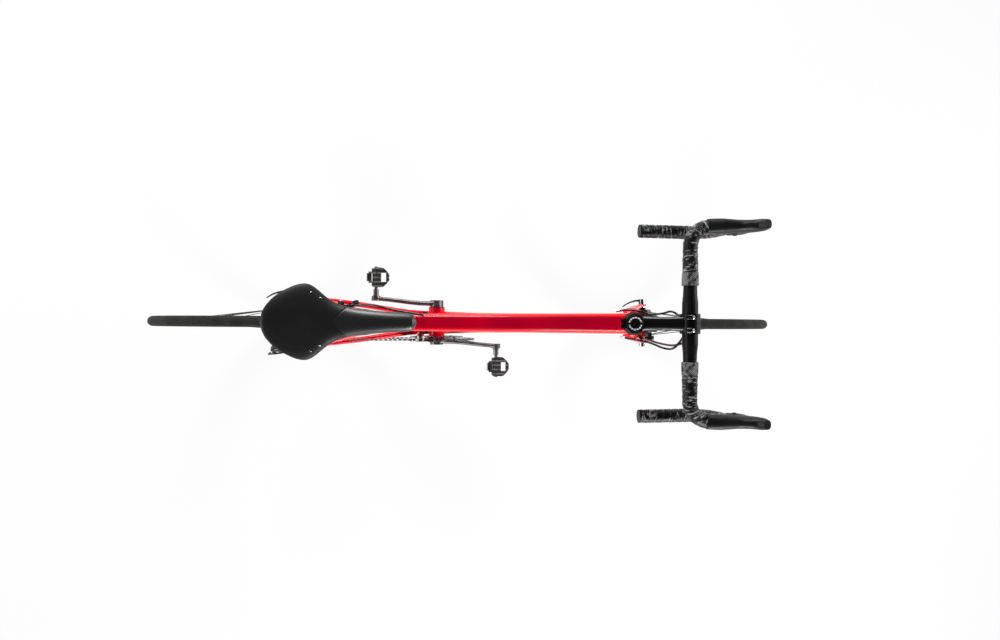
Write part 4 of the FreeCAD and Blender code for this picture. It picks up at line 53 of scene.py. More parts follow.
class Signal:  # one socket of a shader, with arithmetic
    def __init__(self, finish, socket):
        self.finish = finish
        self.socket = socket

    def using(self, operation, other=None, swapped=False):
        sides = (other, self) if swapped else (self, other)
        links = {place: side for place, side in enumerate(sides) if side is not None}
        return self.finish.node("ShaderNodeMath", {"operation": operation}, links)

    def __add__(self, other):
        return self.using("ADD", other)

    def __radd__(self, other):
        return self.using("ADD", other, True)

    def __sub__(self, other):
        return self.using("SUBTRACT", other)

    def __rsub__(self, other):
        return self.using("SUBTRACT", other, True)

    def __mul__(self, other):
        return self.using("MULTIPLY", other)

    def __rmul__(self, other):
        return self.using("MULTIPLY", other, True)

    def __truediv__(self, other):
        return self.using("DIVIDE", other)

    def __rtruediv__(self, other):
        return self.using("DIVIDE", other, True)

    def above(self, limit):
        return self.using("GREATER_THAN", limit)

    def below(self, limit):
        return self.using("LESS_THAN", limit)

    def most(self, other):
        return self.using("MAXIMUM", other)

    def absolute(self):
        return self.using("ABSOLUTE")

    def fraction(self):
        return self.using("FRACT")

    def sine(self):
        return self.using("SINE")

    def ramp(self, low, high, start=0.0, end=1.0):
        settings = {"interpolation_type": "SMOOTHSTEP", "clamp": True}
        links = {"Value": self, "From Min": low, "From Max": high, "To Min": start, "To Max": end}
        return self.finish.node("ShaderNodeMapRange", settings, links)


def tinted(colour, factor, lift=0.0):
    return tuple(part * factor + lift for part in colour)


class Finish:  # one material, or the world, and the nodes it is made of
    def __init__(self, name, holder=None):
        self.material = holder or bpy.data.materials.new(name)
        self.material.use_nodes = True
        self.tree = self.material.node_tree
        self.tree.nodes.clear()
        self.place = self.node("ShaderNodeTexCoord", output="Object")

    def node(self, kind, settings=None, links=None, output=0):
        made = self.tree.nodes.new(kind)
        for key, value in (settings or {}).items():
            setattr(made, key, value)
        for key, value in (links or {}).items():
            if isinstance(value, Signal):
                self.tree.links.new(value.socket, made.inputs[key])
            elif isinstance(value, (tuple, list, Vector)) and made.inputs[key].type == "RGBA":
                made.inputs[key].default_value = (*value[:3], 1.0)
            else:
                made.inputs[key].default_value = value
        return Signal(self, made.outputs[output])

    def vector(self, operation, first, second, output=0):
        return self.node("ShaderNodeVectorMath", {"operation": operation}, {0: first, 1: second}, output)

    def axes(self, vector=None):
        parts = self.node("ShaderNodeSeparateXYZ", links={0: vector or self.place})
        return [Signal(self, out) for out in parts.socket.node.outputs]

    def joined(self, x, y, z):
        return self.node("ShaderNodeCombineXYZ", links={0: x, 1: y, 2: z})

    def noise(self, scale, detail=3.0, roughness=0.55, vector=None, stretch=None):
        where = vector or self.place
        if stretch:
            where = self.vector("MULTIPLY", where, stretch)
        links = {"Vector": where, "Scale": scale, "Detail": detail, "Roughness": roughness}
        return self.node("ShaderNodeTexNoise", links=links)

    def cells(self, scale, feature="F1"):
        links = {"Vector": self.place, "Scale": scale}
        return self.node("ShaderNodeTexVoronoi", {"feature": feature}, links, "Distance")

    def mixed(self, mask, first, second):
        return self.node("ShaderNodeMix", {"data_type": "RGBA"}, {0: mask, 6: first, 7: second}, 2)

    def bump(self, height, distance, strength):
        links = {"Height": height, "Distance": distance, "Strength": strength}
        return self.node("ShaderNodeBump", links=links)

    def facing(self):  # the surface's own normal
        return self.axes(self.node("ShaderNodeTexCoord", output="Normal"))

    def rayIs(self, *kinds):  # 1 for the kinds of ray named
        ray = self.tree.nodes.new("ShaderNodeLightPath")
        masks = [Signal(self, ray.outputs[f"Is {kind} Ray"]) for kind in kinds]
        found = masks[0]
        for mask in masks[1:]:
            found = found.most(mask)
        return found

    def finished(self, surface, output="ShaderNodeOutputMaterial"):
        out = self.tree.nodes.new(output)
        self.tree.links.new(surface.socket, out.inputs["Surface"])
        return self.material

    def shade(self, **sockets):
        links = {name.replace("_", " "): value for name, value in sockets.items()}
        return self.finished(self.node("ShaderNodeBsdfPrincipled", links=links))


paint = {
    # painted light: edge is a painted highlight on faces turned sideways, top and shadow a painted shade on faces
    # lying flat
    "edge": (1.0, 0.0, 0.002), "top": (0.70, 0.0, 0.020), "shadow": (0.52, 0.0, 0.022),
    "topShadeFrom": 0.55, "topShadeTo": 0.97,  # how flat a face lies where the painted shade of the deeper top colour sets in
    "roughness": 0.24, "coat": 0.18, "coatRoughness": 0.05, "shine": 0.16,
    "dustScale": 260.0, "dust": 0.05, "peelScale": 1100.0, "peelDepth": 0.00002,
}


def framePaint():
    finish = Finish("frame_red")
    drift = finish.noise(9.0, 2.0).ramp(0.3, 0.7)
    # painted light: flat-lying faces take the deeper top colour as painted shade, sideways faces the bright edge
    # colour as painted highlight
    level = finish.facing()[2].absolute().ramp(paint["topShadeFrom"], paint["topShadeTo"])
    peel = finish.noise(paint["peelScale"], 2.0)
    dust = finish.noise(paint["dustScale"], 5.0, 0.7).ramp(0.56, 0.78, 0.0, paint["dust"])
    return finish.shade(
        Base_Color=finish.mixed(level, paint["edge"], finish.mixed(drift, paint["shadow"], paint["top"])),
        Roughness=paint["roughness"] + dust, Specular_IOR_Level=paint["shine"],
        Coat_Weight=paint["coat"], Coat_Roughness=paint["coatRoughness"],
        Normal=finish.bump(peel, paint["peelDepth"], 0.5),
    )


metalGrain = {
    "scale": 700.0, "cloud": 45.0, "depth": 0.00002, "spread": 0.12, "dulled": 0.78,
    "wearScale": 150.0, "wear": 0.5,
}


def metal(name, colour, roughness, metallic=1.0, grain=(1.0, 1.0, 1.0), wear=None, shine=0.5):
    finish = Finish(name)
    streak = finish.noise(metalGrain["scale"], 4.0, 0.6, stretch=grain)
    cloud = finish.noise(metalGrain["cloud"], 3.0)
    base = finish.mixed(cloud.ramp(0.35, 0.7), colour, tinted(colour, metalGrain["dulled"]))
    if wear:
        worn = finish.noise(metalGrain["wearScale"], 5.0, 0.7).ramp(0.60, 0.74) * metalGrain["wear"]
        base = finish.mixed(worn, base, wear)
    spread = metalGrain["spread"]
    return finish.shade(
        Base_Color=base, Metallic=metallic, Specular_IOR_Level=shine,
        Roughness=roughness + (streak - 0.5) * spread + (cloud - 0.5) * spread,
        Normal=finish.bump(streak, metalGrain["depth"], 0.6),
    )


def moulded(name, colour, roughness, grainScale=900.0, grainDepth=0.00004, coat=0.0, shine=0.22):
    finish = Finish(name)
    grain = finish.cells(grainScale)
    cloud = finish.noise(60.0, 3.0)
    return finish.shade(
        Base_Color=finish.mixed(cloud, tinted(colour, 0.75), tinted(colour, 1.3)),
        Roughness=roughness + (cloud - 0.5) * 0.16, Specular_IOR_Level=shine,
        Coat_Weight=coat, Coat_Roughness=0.12,
        Normal=finish.bump(grain, grainDepth, 0.8),
    )


tyre = {
    "halfWidth": 0.0125, "treadFrom": 0.3262, "treadTo": 0.3276,
    "cuts": 150.0, "slant": 2.2, "threads": 1150.0, "threadRun": 2600.0,
    "rubber": ((0.010, 0.011, 0.008), (0.026, 0.028, 0.021)),
    "wall": ((0.007, 0.007, 0.007), (0.015, 0.014, 0.013)),
    "roughness": 0.58, "shine": 0.25, "depth": 0.0004,
}


def aroundWheel(finish, which):
    centre = wheels[which]
    x, y, z = finish.axes(finish.vector("SUBTRACT", finish.place, tuple(centre)))
    angle = z.using("ARCTAN2", x)
    radius = (x * x + z * z).using("SQRT")
    return angle, radius, y


def tyreRubber(which):
    finish = Finish(which + "_tyre_rubber")
    angle, radius, side = aroundWheel(finish, which)
    reach = side.absolute() / tyre["halfWidth"]
    slot = (angle * tyre["cuts"] + reach * tyre["slant"]).fraction() - 0.5
    cut = slot.absolute().ramp(0.16, 0.10) * reach.ramp(0.42, 0.5) * reach.ramp(0.86, 0.78)
    tread = radius.ramp(tyre["treadFrom"], tyre["treadTo"])
    thread = (angle * tyre["threads"] + side * tyre["threadRun"]).sine() * (1.0 - tread)
    grit = finish.noise(1500.0, 4.0, 0.7)
    worn = finish.noise(38.0, 4.0).ramp(0.35, 0.75)
    rubber = finish.mixed(worn, *tyre["rubber"])
    wall = finish.mixed(grit, *tyre["wall"])
    height = grit * 0.25 - cut * tread + thread * 0.12
    return finish.shade(
        Base_Color=finish.mixed(tread, wall, rubber),
        Roughness=tyre["roughness"] + grit * 0.2 + tread * 0.08, Specular_IOR_Level=tyre["shine"],
        Normal=finish.bump(height, tyre["depth"], 0.9),
    )


rim = {
    "trackFrom": 0.3035, "trackTo": 0.3042, "sideFrom": 0.0088, "sideTo": 0.0096,  # where the pads run
    "black": (0.012, 0.012, 0.013), "track": ((0.18, 0.18, 0.18), (0.42, 0.42, 0.42)),
    "rings": 5200.0, "depth": 0.00004,
}


def rimFinish(which):
    finish = Finish(which + "_rim_black")
    angle, radius, side = aroundWheel(finish, which)
    flank = side.absolute().ramp(rim["sideFrom"], rim["sideTo"])
    track = radius.ramp(rim["trackFrom"], rim["trackTo"]) * flank
    rings = finish.noise(1.0, 3.0, 0.6, vector=finish.joined(radius * rim["rings"], angle * 3.0, 0.0))
    worn = finish.mixed(rings, *rim["track"])
    grain = finish.noise(900.0, 3.0)
    return finish.shade(
        Base_Color=finish.mixed(track, rim["black"], worn),
        Metallic=track * 0.9, Roughness=0.34 + grain * 0.12 + track * 0.02,
        Normal=finish.bump(rings * track + grain * 0.15, rim["depth"], 0.8),
    )


def leather(name, colour, roughness, shine, grainScale=720.0, depth=0.00022):
    finish = Finish(name)
    grain = finish.cells(grainScale, "SMOOTH_F1")
    pores = finish.noise(2200.0, 3.0)
    # lengthwise streaks, partly rubbed wear and partly a painted sheen: glossier, and lighter in colour
    rubbedSheen = finish.noise(22.0, 4.0, stretch=(0.35, 1.0, 1.0)).ramp(0.38, 0.72)
    return finish.shade(
        Base_Color=finish.mixed(rubbedSheen, colour, tinted(colour, 1.7, 0.003)),
        Roughness=roughness - rubbedSheen * 0.10 + pores * 0.08, Specular_IOR_Level=shine,
        Normal=finish.bump(grain + pores * 0.3, depth, 0.55),
    )


tapeLook = {
    # the light grey is the colour of a painted highlight on the black tape
    "black": (0.004, 0.004, 0.0045), "paintedGlint": (0.42, 0.43, 0.44), "share": 0.85, "shine": 0.25, "depth": 0.0010,
}


def wrapTape():  # foam tape with painted highlights along its laps and creases
    finish = Finish("bar_tape_wrap")
    turns, around, _ = finish.axes(finish.node("ShaderNodeTexCoord", output="UV"))
    turn = around * (2 * math.pi)
    across = finish.joined(turns * 5.0, turn.sine(), (turn + math.pi / 2).sine())
    # stroke, lapEdge and crumb mark where the painted highlight lies
    stroke = finish.noise(1.25, 2.0, 0.5, vector=across).ramp(0.56, 0.64)
    lap = turns.fraction()
    lapEdge = lap.ramp(0.00, 0.03) * lap.ramp(0.17, 0.10) * finish.noise(75.0, 2.0).ramp(0.50, 0.58)
    patch = finish.noise(34.0, 2.0).ramp(0.40, 0.54)
    crumb = finish.noise(420.0, 3.0, 0.6).ramp(0.60, 0.70) * patch
    paintedGlint = (stroke * patch).most(lapEdge).most(crumb * 0.5)
    fine = finish.noise(900.0, 4.0, 0.6)
    return finish.shade(
        Base_Color=finish.mixed(paintedGlint * tapeLook["share"], tapeLook["black"], tapeLook["paintedGlint"]),
        Roughness=0.30 + fine * 0.16, Specular_IOR_Level=tapeLook["shine"],
        Normal=finish.bump(paintedGlint * 0.6 + fine * 0.15, tapeLook["depth"], 0.9),
    )


weave = {
    "barRadius": 0.016, "threads": 1500.0, "depth": 0.0003,
    "dark": (0.006, 0.006, 0.0065), "light": (0.36, 0.36, 0.37),
}


def wovenBand():
    finish = Finish("tape_band_weave")
    x, y, z = finish.axes(finish.vector("SUBTRACT", finish.place, tuple(barCentre)))
    girth = z.using("ARCTAN2", x) * weave["barRadius"]
    first = ((girth + y) * weave["threads"]).sine()
    second = ((girth - y) * weave["threads"]).sine()
    thread = first.most(second)
    patch = finish.noise(90.0, 3.0).ramp(0.34, 0.56)
    light = thread.ramp(0.45, 0.85) * patch
    return finish.shade(
        Base_Color=finish.mixed(light, weave["dark"], weave["light"]),
        Roughness=0.55 - light * 0.2, Specular_IOR_Level=0.3, Normal=finish.bump(thread, weave["depth"], 0.8),
    )


def chainSteel(name, colour, roughness):
    finish = Finish(name)
    grime = finish.noise(320.0, 4.0, 0.65).ramp(0.42, 0.68)
    scratch = finish.noise(1500.0, 3.0, stretch=(0.3, 1.0, 1.0))
    return finish.shade(
        Base_Color=finish.mixed(grime, colour, (0.06, 0.052, 0.042)),
        Metallic=1.0 - grime * 0.35, Roughness=roughness + grime * 0.25 + scratch * 0.08,
        Normal=finish.bump(scratch, 0.00002, 0.6),
    )


boltHeads = {
    "rows": ((0.39485, 0.8729), (0.3849, 0.9241)), "side": 0.013, "radius": 0.0044, "steel": (0.80, 0.80, 0.81),
}


def boltedBlack():  # black faceplate whose bolt heads are bare steel
    finish = Finish("faceplate_black")
    heads = None
    for x, z in boltHeads["rows"]:
        for y in (-boltHeads["side"], boltHeads["side"]):
            near = finish.vector("DISTANCE", finish.place, (x, y, z), output=1).below(boltHeads["radius"])
            heads = near if heads is None else heads.most(near)
    grain = finish.noise(700.0, 4.0, 0.6)
    return finish.shade(
        Base_Color=finish.mixed(heads, (0.006, 0.006, 0.0065), boltHeads["steel"]), Metallic=heads * 0.6,
        Roughness=0.36 + (grain - 0.5) * 0.1, Specular_IOR_Level=0.12,
        Normal=finish.bump(grain, 0.00003, 0.5),
    )


def highlightedBlack():  # black stem with a fine painted highlight where each side rolls over
    finish = Finish("stem_black")
    _, sideways, upwards = finish.facing()
    lean = sideways.absolute()
    # painted highlight: lighter colour on faces that lean sideways and face up
    line = lean.ramp(0.66, 0.72) * lean.ramp(0.90, 0.84) * upwards.above(0.1)
    broken = finish.noise(60.0, 3.0).ramp(0.38, 0.52)
    grain = finish.noise(700.0, 4.0, 0.6)
    return finish.shade(
        Base_Color=finish.mixed(line * broken, (0.005, 0.005, 0.0055), (0.34, 0.34, 0.35)),
        Roughness=0.38 + (grain - 0.5) * 0.1, Specular_IOR_Level=0.14,
        Normal=finish.bump(grain, 0.00003, 0.5),
    )


ribs = {
    "spacing": 0.0125, "start": 0.6, "worn": (0.16, 0.16, 0.165),
    "body": ((0.020, 0.020, 0.020), (0.036, 0.036, 0.036)),
}


def barredGrey():  # moulded pedal: dark body with worn lighter ribs across it
    finish = Finish("pedal_composite")
    wave = (finish.axes()[1] * (2 * math.pi / ribs["spacing"]) + ribs["start"]).sine()
    rib = wave.ramp(0.35, 0.7) * finish.noise(160.0, 3.0).ramp(0.30, 0.5)
    grain = finish.cells(700.0)
    cloud = finish.noise(60.0, 3.0)
    body = finish.mixed(cloud, *ribs["body"])
    return finish.shade(
        Base_Color=finish.mixed(rib, body, ribs["worn"]), Roughness=0.42 + (cloud - 0.5) * 0.16,
        Specular_IOR_Level=0.3, Normal=finish.bump(grain + rib * 2.0, 0.00012, 0.8),
    )


capRing = {
    "centre": (0.27487, 0.0, 0.90045), "inner": 0.0108, "outer": 0.0134, "lowest": -0.006, "marks": 14.0,
}


def ringedBlack():  # black headset parts; the cap carries a plain ring of broken white arcs
    finish = Finish("headset_black")
    away = finish.vector("SUBTRACT", finish.place, capRing["centre"])
    height = finish.vector("DOT_PRODUCT", away, tuple(steerAxis), output=1)
    radius = (finish.vector("DOT_PRODUCT", away, away, output=1) - height * height).using("SQRT")
    x, y, _ = finish.axes(away)
    angle = y.using("ARCTAN2", x)
    arcs = angle.sine().absolute().ramp(0.18, 0.24)
    marks = (angle * capRing["marks"]).sine().ramp(-0.6, -0.2) * 0.7 + 0.3
    ring = radius.above(capRing["inner"]) * radius.below(capRing["outer"]) * height.above(capRing["lowest"])
    grain = finish.noise(800.0, 3.0, 0.6)
    return finish.shade(
        Base_Color=finish.mixed(ring * arcs * marks, (0.005, 0.005, 0.0055), (0.85, 0.85, 0.85)),
        Roughness=0.40 + (grain - 0.5) * 0.12, Specular_IOR_Level=0.12,
        Normal=finish.bump(grain, 0.00003, 0.5),
    )


finishes = {
    "paint": framePaint(),
    "blackAlloy": metal("black_anodised", (0.006, 0.006, 0.0065), 0.40, 0.0, (1.0, 6.0, 1.0), shine=0.12),
    "crankAlloy": metal("crank_grey", (0.17, 0.175, 0.185), 0.34, 0.8, (0.12, 1.0, 1.0), (0.5, 0.5, 0.51)),
    "darkAlloy": metal("dark_polished", (0.075, 0.077, 0.082), 0.26, 0.9, (0.3, 1.0, 1.0), (0.45, 0.45, 0.46)),
    "silverAlloy": metal("silver_polished", (0.62, 0.63, 0.65), 0.20, 1.0, (0.25, 1.0, 1.0)),
    "steel": metal("nickel_steel", (0.50, 0.50, 0.50), 0.24, 1.0, (1.0, 1.0, 0.2)),
    "ring": metal("chainring_grey", (0.34, 0.35, 0.37), 0.28, 1.0, (1.0, 5.0, 1.0), (0.6, 0.6, 0.6)),
    "chain": chainSteel("chain_plates", (0.48, 0.46, 0.43), 0.26),
    "cogs": chainSteel("cog_nickel", (0.52, 0.51, 0.49), 0.22),
    "spoke": metal("spoke_black", (0.03, 0.03, 0.032), 0.34, 0.7, (1.0, 1.0, 0.1)),
    "hoodRubber": moulded("hood_rubber", (0.006, 0.006, 0.0065), 0.46, 1300.0, 0.00006, 0.0, 0.30),
    "plastic": moulded("moulded_black", (0.010, 0.010, 0.011), 0.36, 1100.0, 0.00004),
    "composite": barredGrey(), "stemBlack": highlightedBlack(),
    "housing": moulded("cable_sleeve", (0.010, 0.010, 0.011), 0.22, 1600.0, 0.00002, 0.4),
    "shell": moulded("saddle_shell", (0.014, 0.014, 0.015), 0.32, 700.0, 0.00005),
    "saddle": leather("saddle_matte", (0.0065, 0.0065, 0.007), 0.50, 0.30),
    "saddleNose": leather("saddle_nose_gloss", (0.008, 0.008, 0.0085), 0.40, 0.72, 1500.0, 0.00008),
    "tape": wrapTape(), "weave": wovenBand(), "faceplate": boltedBlack(), "headset": ringedBlack(),
    "frontTyre": tyreRubber("front"), "rearTyre": tyreRubber("rear"),
    "frontRim": rimFinish("front"), "rearRim": rimFinish("rear"),
}
print("finishes made:", len(finishes))


def meshPiece(name, points, faces, finish, body, smooth=True):
    mesh = bpy.data.meshes.new(name)
    mesh.from_pydata([tuple(point) for point in points], [], faces)
    mesh.validate()
    made = bpy.data.objects.new(name, mesh)
    scene.collection.objects.link(made)
    made.data.materials.append(finishes[finish])
    for polygon in mesh.polygons:
        polygon.use_smooth = smooth
    outward(made)
    if body:
        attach(made, body)
    return made


def outward(made):  # turns every face's front to the outside
    shape = bmesh.new()
    shape.from_mesh(made.data)
    bmesh.ops.recalc_face_normals(shape, faces=shape.faces)
    shape.to_mesh(made.data)
    shape.free()


def ringFaces(rows, around, closedEnds=True):  # faces between rings of points, one ring after another
    faces = []
    for row in range(rows - 1):
        for step in range(around):
            ahead = (step + 1) % around
            low, high = row * around, (row + 1) * around
            faces.append((low + step, low + ahead, high + ahead, high + step))
    if closedEnds:
        faces.append(tuple(reversed(range(around))))
        faces.append(tuple(range((rows - 1) * around, rows * around)))
    return faces


def dress(finish, *names):  # gives CAD pieces their finish and leaves their shape
    for name in names:
        node = nodes[name]
        if not node.material_slots:
            node.data.materials.append(finishes[finish])
        for holder in node.material_slots:
            holder.link = "OBJECT"
            holder.material = finishes[finish]


dress("paint", "head_tube", "top_tube", "down_tube", "seat_tube")
dress("paint", "bottom_bracket_shell", "chainstays", "seatstays", "fork")
dress("blackAlloy", "bearing_cups", "seat_clamp", "handlebar", "seatpost")
dress("stemBlack", "stem")
dress("blackAlloy", "front_hub", "rear_hub", "front_qr_lever", "rear_qr_lever")
dress("headset", "headset")
dress("faceplate", "stem_faceplate")
dress("silverAlloy", "bottle_bosses", "front_axle", "rear_axle")
dress("crankAlloy", "cranks")
dress("ring", "chainrings")
dress("darkAlloy", "front_derailleur_bracket", "rear_derailleur_bracket", "front_derailleur_link")
dress("darkAlloy", "rear_derailleur_outer_link", "rear_derailleur_inner_link", "rear_derailleur_knuckle")
dress("darkAlloy", "rear_derailleur_cage", "left_brake_lever", "right_brake_lever")
dress("darkAlloy", "front_caliper_left", "front_caliper_right", "rear_caliper_left", "rear_caliper_right")
dress("steel", "front_derailleur_cage", "left_pedal_latch", "right_pedal_latch")
dress("cogs", "cassette")
dress("spoke", "front_spokes", "rear_spokes")
dress("composite", "left_pedal", "right_pedal")
dress("plastic", "left_shift_paddle", "right_shift_paddle", "guide_pulley", "tension_pulley")
dress("housing", "frame_cables")
dress("hoodRubber", "brake_hoods")
dress("shell", "saddle_base")
dress("frontTyre", "front_tyre")
dress("rearTyre", "rear_tyre")
dress("frontRim", "front_rim")
dress("rearRim", "rear_rim")
print("CAD pieces dressed")

chainSplit = {
    "nearGuide": 0.025,  # links this near the guide pulley's centre swing with the cage
    "slackLength": 0.15,  # length of the lower run that gives when the cage swings
    "ringLead": 0.005,  # how far behind the chainring's centre the lower run begins
}


def middleOf(node):
    corners = [vertex.co for vertex in nodes[node].data.vertices]
    low = [min(corner[axis] for corner in corners) for axis in range(3)]
    high = [max(corner[axis] for corner in corners) for axis in range(3)]
    return Vector([(low[axis] + high[axis]) / 2 for axis in range(3)])


def chainLinks():  # the chain's loose links, each as its points and faces
    whole = bmesh.new()
    whole.from_mesh(nodes["chain"].data)
    bmesh.ops.remove_doubles(whole, verts=whole.verts, dist=1e-6)
    links, reached = [], set()
    for first in whole.verts:
        if first in reached:
            continue
        waiting, link = [first], []
        reached.add(first)
        while waiting:
            vertex = waiting.pop()
            link.append(vertex)
            for edge in vertex.link_edges:
                other = edge.other_vert(vertex)
                if other not in reached:
                    reached.add(other)
                    waiting.append(other)
        place = {vertex: index for index, vertex in enumerate(link)}
        faces = {face for vertex in link for face in vertex.link_faces}
        points = [tuple(vertex.co) for vertex in link]
        ordered = sorted(faces, key=lambda face: face.index)
        links.append((points, [[place[vertex] for vertex in face.verts] for face in ordered]))
    whole.free()
    return links


def chainPieces():
    guide, tension, ring = middleOf("guide_pulley"), middleOf("tension_pulley"), middleOf("chainrings")
    runs = {"chain_round_ring": ([], []), "chain_round_pulleys": ([], []), "chain_lower_run": ([], [])}
    for points, faces in chainLinks():
        x = sum(point[0] for point in points) / len(points)
        z = sum(point[2] for point in points) / len(points)
        nearGuide = (Vector((x, z)) - Vector((guide.x, guide.z))).length < chainSplit["nearGuide"]
        if nearGuide or (x < tension.x and z < guide.z):
            run = runs["chain_round_pulleys"]
        elif z < tension.z and x < ring.x - chainSplit["ringLead"]:
            run = runs["chain_lower_run"]
        else:
            run = runs["chain_round_ring"]
        start = len(run[0])
        run[0].extend(points)
        run[1].extend([start + index for index in face] for face in faces)
    for name, (points, faces) in runs.items():
        body = {"chain_round_ring": "frame", "chain_round_pulleys": "rear_derailleur_cage"}.get(name)
        made = meshPiece(name, points, faces, "chain", body, smooth=False)
        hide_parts("chain")
        if not body:  # the lower run belongs to no body
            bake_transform(made)


chainPieces()
print("chain split where the derailleur takes it along")


def evenly(points, step):  # points at even gaps along a line, and their distances
    spots = np.array([tuple(point) for point in points])
    gaps = np.linalg.norm(np.diff(spots, axis=0), axis=1)
    along = np.concatenate(([0.0], np.cumsum(gaps)))
    marks = np.linspace(0.0, along[-1], max(3, int(along[-1] / step) + 1))
    places = np.stack([np.interp(marks, along, spots[:, axis]) for axis in range(3)], axis=1)
    return [Vector(place) for place in places], marks


arcSteps = 24
curveSteps = 12


def bentPath(corners, radii, step):  # straight legs joined by arcs that touch both legs
    made = [corners[0]]
    for before, corner, after, radius in zip(corners, corners[1:], corners[2:], radii):
        coming, going = (corner - before).normalized(), (after - corner).normalized()
        turn = coming.angle(going)
        inward = (going - coming * coming.dot(going)).normalized()
        centre = corner - coming * radius * math.tan(turn / 2) + inward * radius
        for part in range(arcSteps + 1):
            angle = turn * part / arcSteps
            made.append(centre + (coming * math.sin(angle) - inward * math.cos(angle)) * radius)
    made.append(corners[-1])
    return evenly(made, step)


def easedPath(corners, step, share=0.45):  # a soft curve that cuts every corner
    made = [corners[0]]
    for before, corner, after in zip(corners, corners[1:], corners[2:]):
        start, end = corner.lerp(before, share), corner.lerp(after, share)
        for part in range(curveSteps + 1):
            t = part / curveSteps
            made.append(start.lerp(corner, t).lerp(corner.lerp(end, t), t))
    made.append(corners[-1])
    return evenly(made, step)


def sweptRings(path, around, reach):  # rings square to the path, at a distance of reach(row, angle)
    points = []
    normal = Vector((0, 0, 1))
    for row, place in enumerate(path):
        ahead = path[min(row + 1, len(path) - 1)] - path[max(row - 1, 0)]
        ahead.normalize()
        normal = (normal - ahead * normal.dot(ahead)).normalized()
        side = ahead.cross(normal)
        for step in range(around):
            angle = 2 * math.pi * step / around
            spoke = normal * math.cos(angle) + side * math.sin(angle)
            points.append(place + spoke * reach(row, angle))
    return points


def hosePiece(name, corners, body):
    around = hoses["around"]
    path, _ = easedPath([Vector(corner) for corner in corners], hoses["step"])
    points = sweptRings(path, around, lambda row, angle: hoses["radius"])
    return meshPiece(name, points, ringFaces(len(path), around), "housing", body)


sharpFrom = 35  # degrees


def turnedPiece(name, start, direction, profile, finish, body, around, smooth=True):
    # the profile's rows are a distance along the direction and a radius, in metres
    start, direction = Vector(start), Vector(direction).normalized()
    normal = direction.orthogonal().normalized()
    side = direction.cross(normal)
    points = []
    for along, radius in profile:
        for step in range(around):
            angle = 2 * math.pi * step / around
            spoke = normal * math.cos(angle) + side * math.sin(angle)
            points.append(start + direction * along + spoke * radius)
    made = meshPiece(name, points, ringFaces(len(profile), around), finish, body, smooth)
    if smooth:
        made.data.shade_smooth()
        crease(made, sharpFrom)
    return made


def crease(made, degrees):  # edges sharper than this stay sharp while the rest shades smooth
    shape = bmesh.new()
    shape.from_mesh(made.data)
    limit = math.radians(degrees)
    for edge in shape.edges:
        if len(edge.link_faces) == 2 and edge.calc_face_angle(0.0) > limit:
            edge.smooth = False
    shape.to_mesh(made.data)
    shape.free()


wrap = {  # bar tape: a helical wrap with its overlaps, and a woven band that finishes it
    "pitch": 0.0155, "lift": 0.0011, "lap": 0.10, "wrinkle": 0.00055, "around": 56, "step": 0.0011,
    "start": 0.077, "bandEnd": 0.1035, "bandLift": 0.0007,
    "coneEnd": 0.142, "coneRadius": 0.01605, "radius": 0.0143,
    "corners": (0.040, 0.040, 0.052), "underBand": 0.004, "sunk": 0.0004,
    "bandStep": 0.0009, "bandAround": 72, "bandRoll": 0.0012, "thread": 0.00008,
    "plug": [(-0.001, 0.0102), (0.0026, 0.0104), (0.0031, 0.0112), (0.0031, 0.0134), (0.0022, 0.0142),
             (-0.001, 0.0142)],
}


def barSide(side, start):
    offsets = (
        (0, start, 0), (0, 0.195, 0), (0.084, 0.198, 0.001), (0.088, 0.203, -0.128), (-0.055, 0.205, -0.136),
    )
    return [barCentre + Vector((x, side * y, z)) for x, y, z in offsets]


def wrapRadius(along, start):
    share = min(1.0, (along + start - wrap["start"]) / (wrap["coneEnd"] - wrap["start"]))
    return wrap["coneRadius"] + (wrap["radius"] - wrap["coneRadius"]) * share


def wrappedBar(side, label):
    start = wrap["bandEnd"] - wrap["underBand"]
    path, marks = bentPath(barSide(side, start), wrap["corners"], wrap["step"])
    around = wrap["around"]

    def reach(row, angle):
        place = path[row]
        turn = (marks[row] / wrap["pitch"] - side * angle / (2 * math.pi)) % 1.0
        edge = min(1.0, turn / wrap["lap"])
        rise = edge * (1.0 - 0.72 * max(0.0, turn - wrap["lap"]) / (1 - wrap["lap"]))
        spot = Vector((
            place.x * 60 + math.cos(angle) * 1.3,
            place.y * 60 + marks[row] * 40,
            place.z * 60 + math.sin(angle) * 1.3,
        ))
        crumple = noise.noise(spot * 1.7) * 0.6 + abs(noise.noise(spot * 4.1)) * 0.8
        pull = noise.noise(Vector((marks[row] * 320 + angle * 1.5, angle * 2.2, side * 9)))
        creases = wrap["wrinkle"] * (crumple + pull * 0.7)
        return wrapRadius(marks[row], start) + wrap["lift"] * rise - wrap["sunk"] + creases

    points = sweptRings(path, around, reach)
    made = meshPiece(label + "_bar_wrap", points, ringFaces(len(path), around), "tape", "fork")
    layer = made.data.uv_layers.new(name="wrap")
    for polygon in made.data.polygons:
        steps = [made.data.loops[corner].vertex_index % around for corner in polygon.loop_indices]
        for corner, step in zip(polygon.loop_indices, steps):
            share = 1.0 if step == 0 and max(steps) == around - 1 and len(steps) == 4 else step / around
            row = made.data.loops[corner].vertex_index // around
            layer.data[corner].uv = (marks[row] / wrap["pitch"] - side * share + 8.0, share)
    if side > 0:
        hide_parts("bar_tape")
    bandOver(side, label)
    end, inner = path[-1], path[-3]
    turnedPiece(label + "_plug_ring", end, end - inner, wrap["plug"], "silverAlloy", "fork", 40)


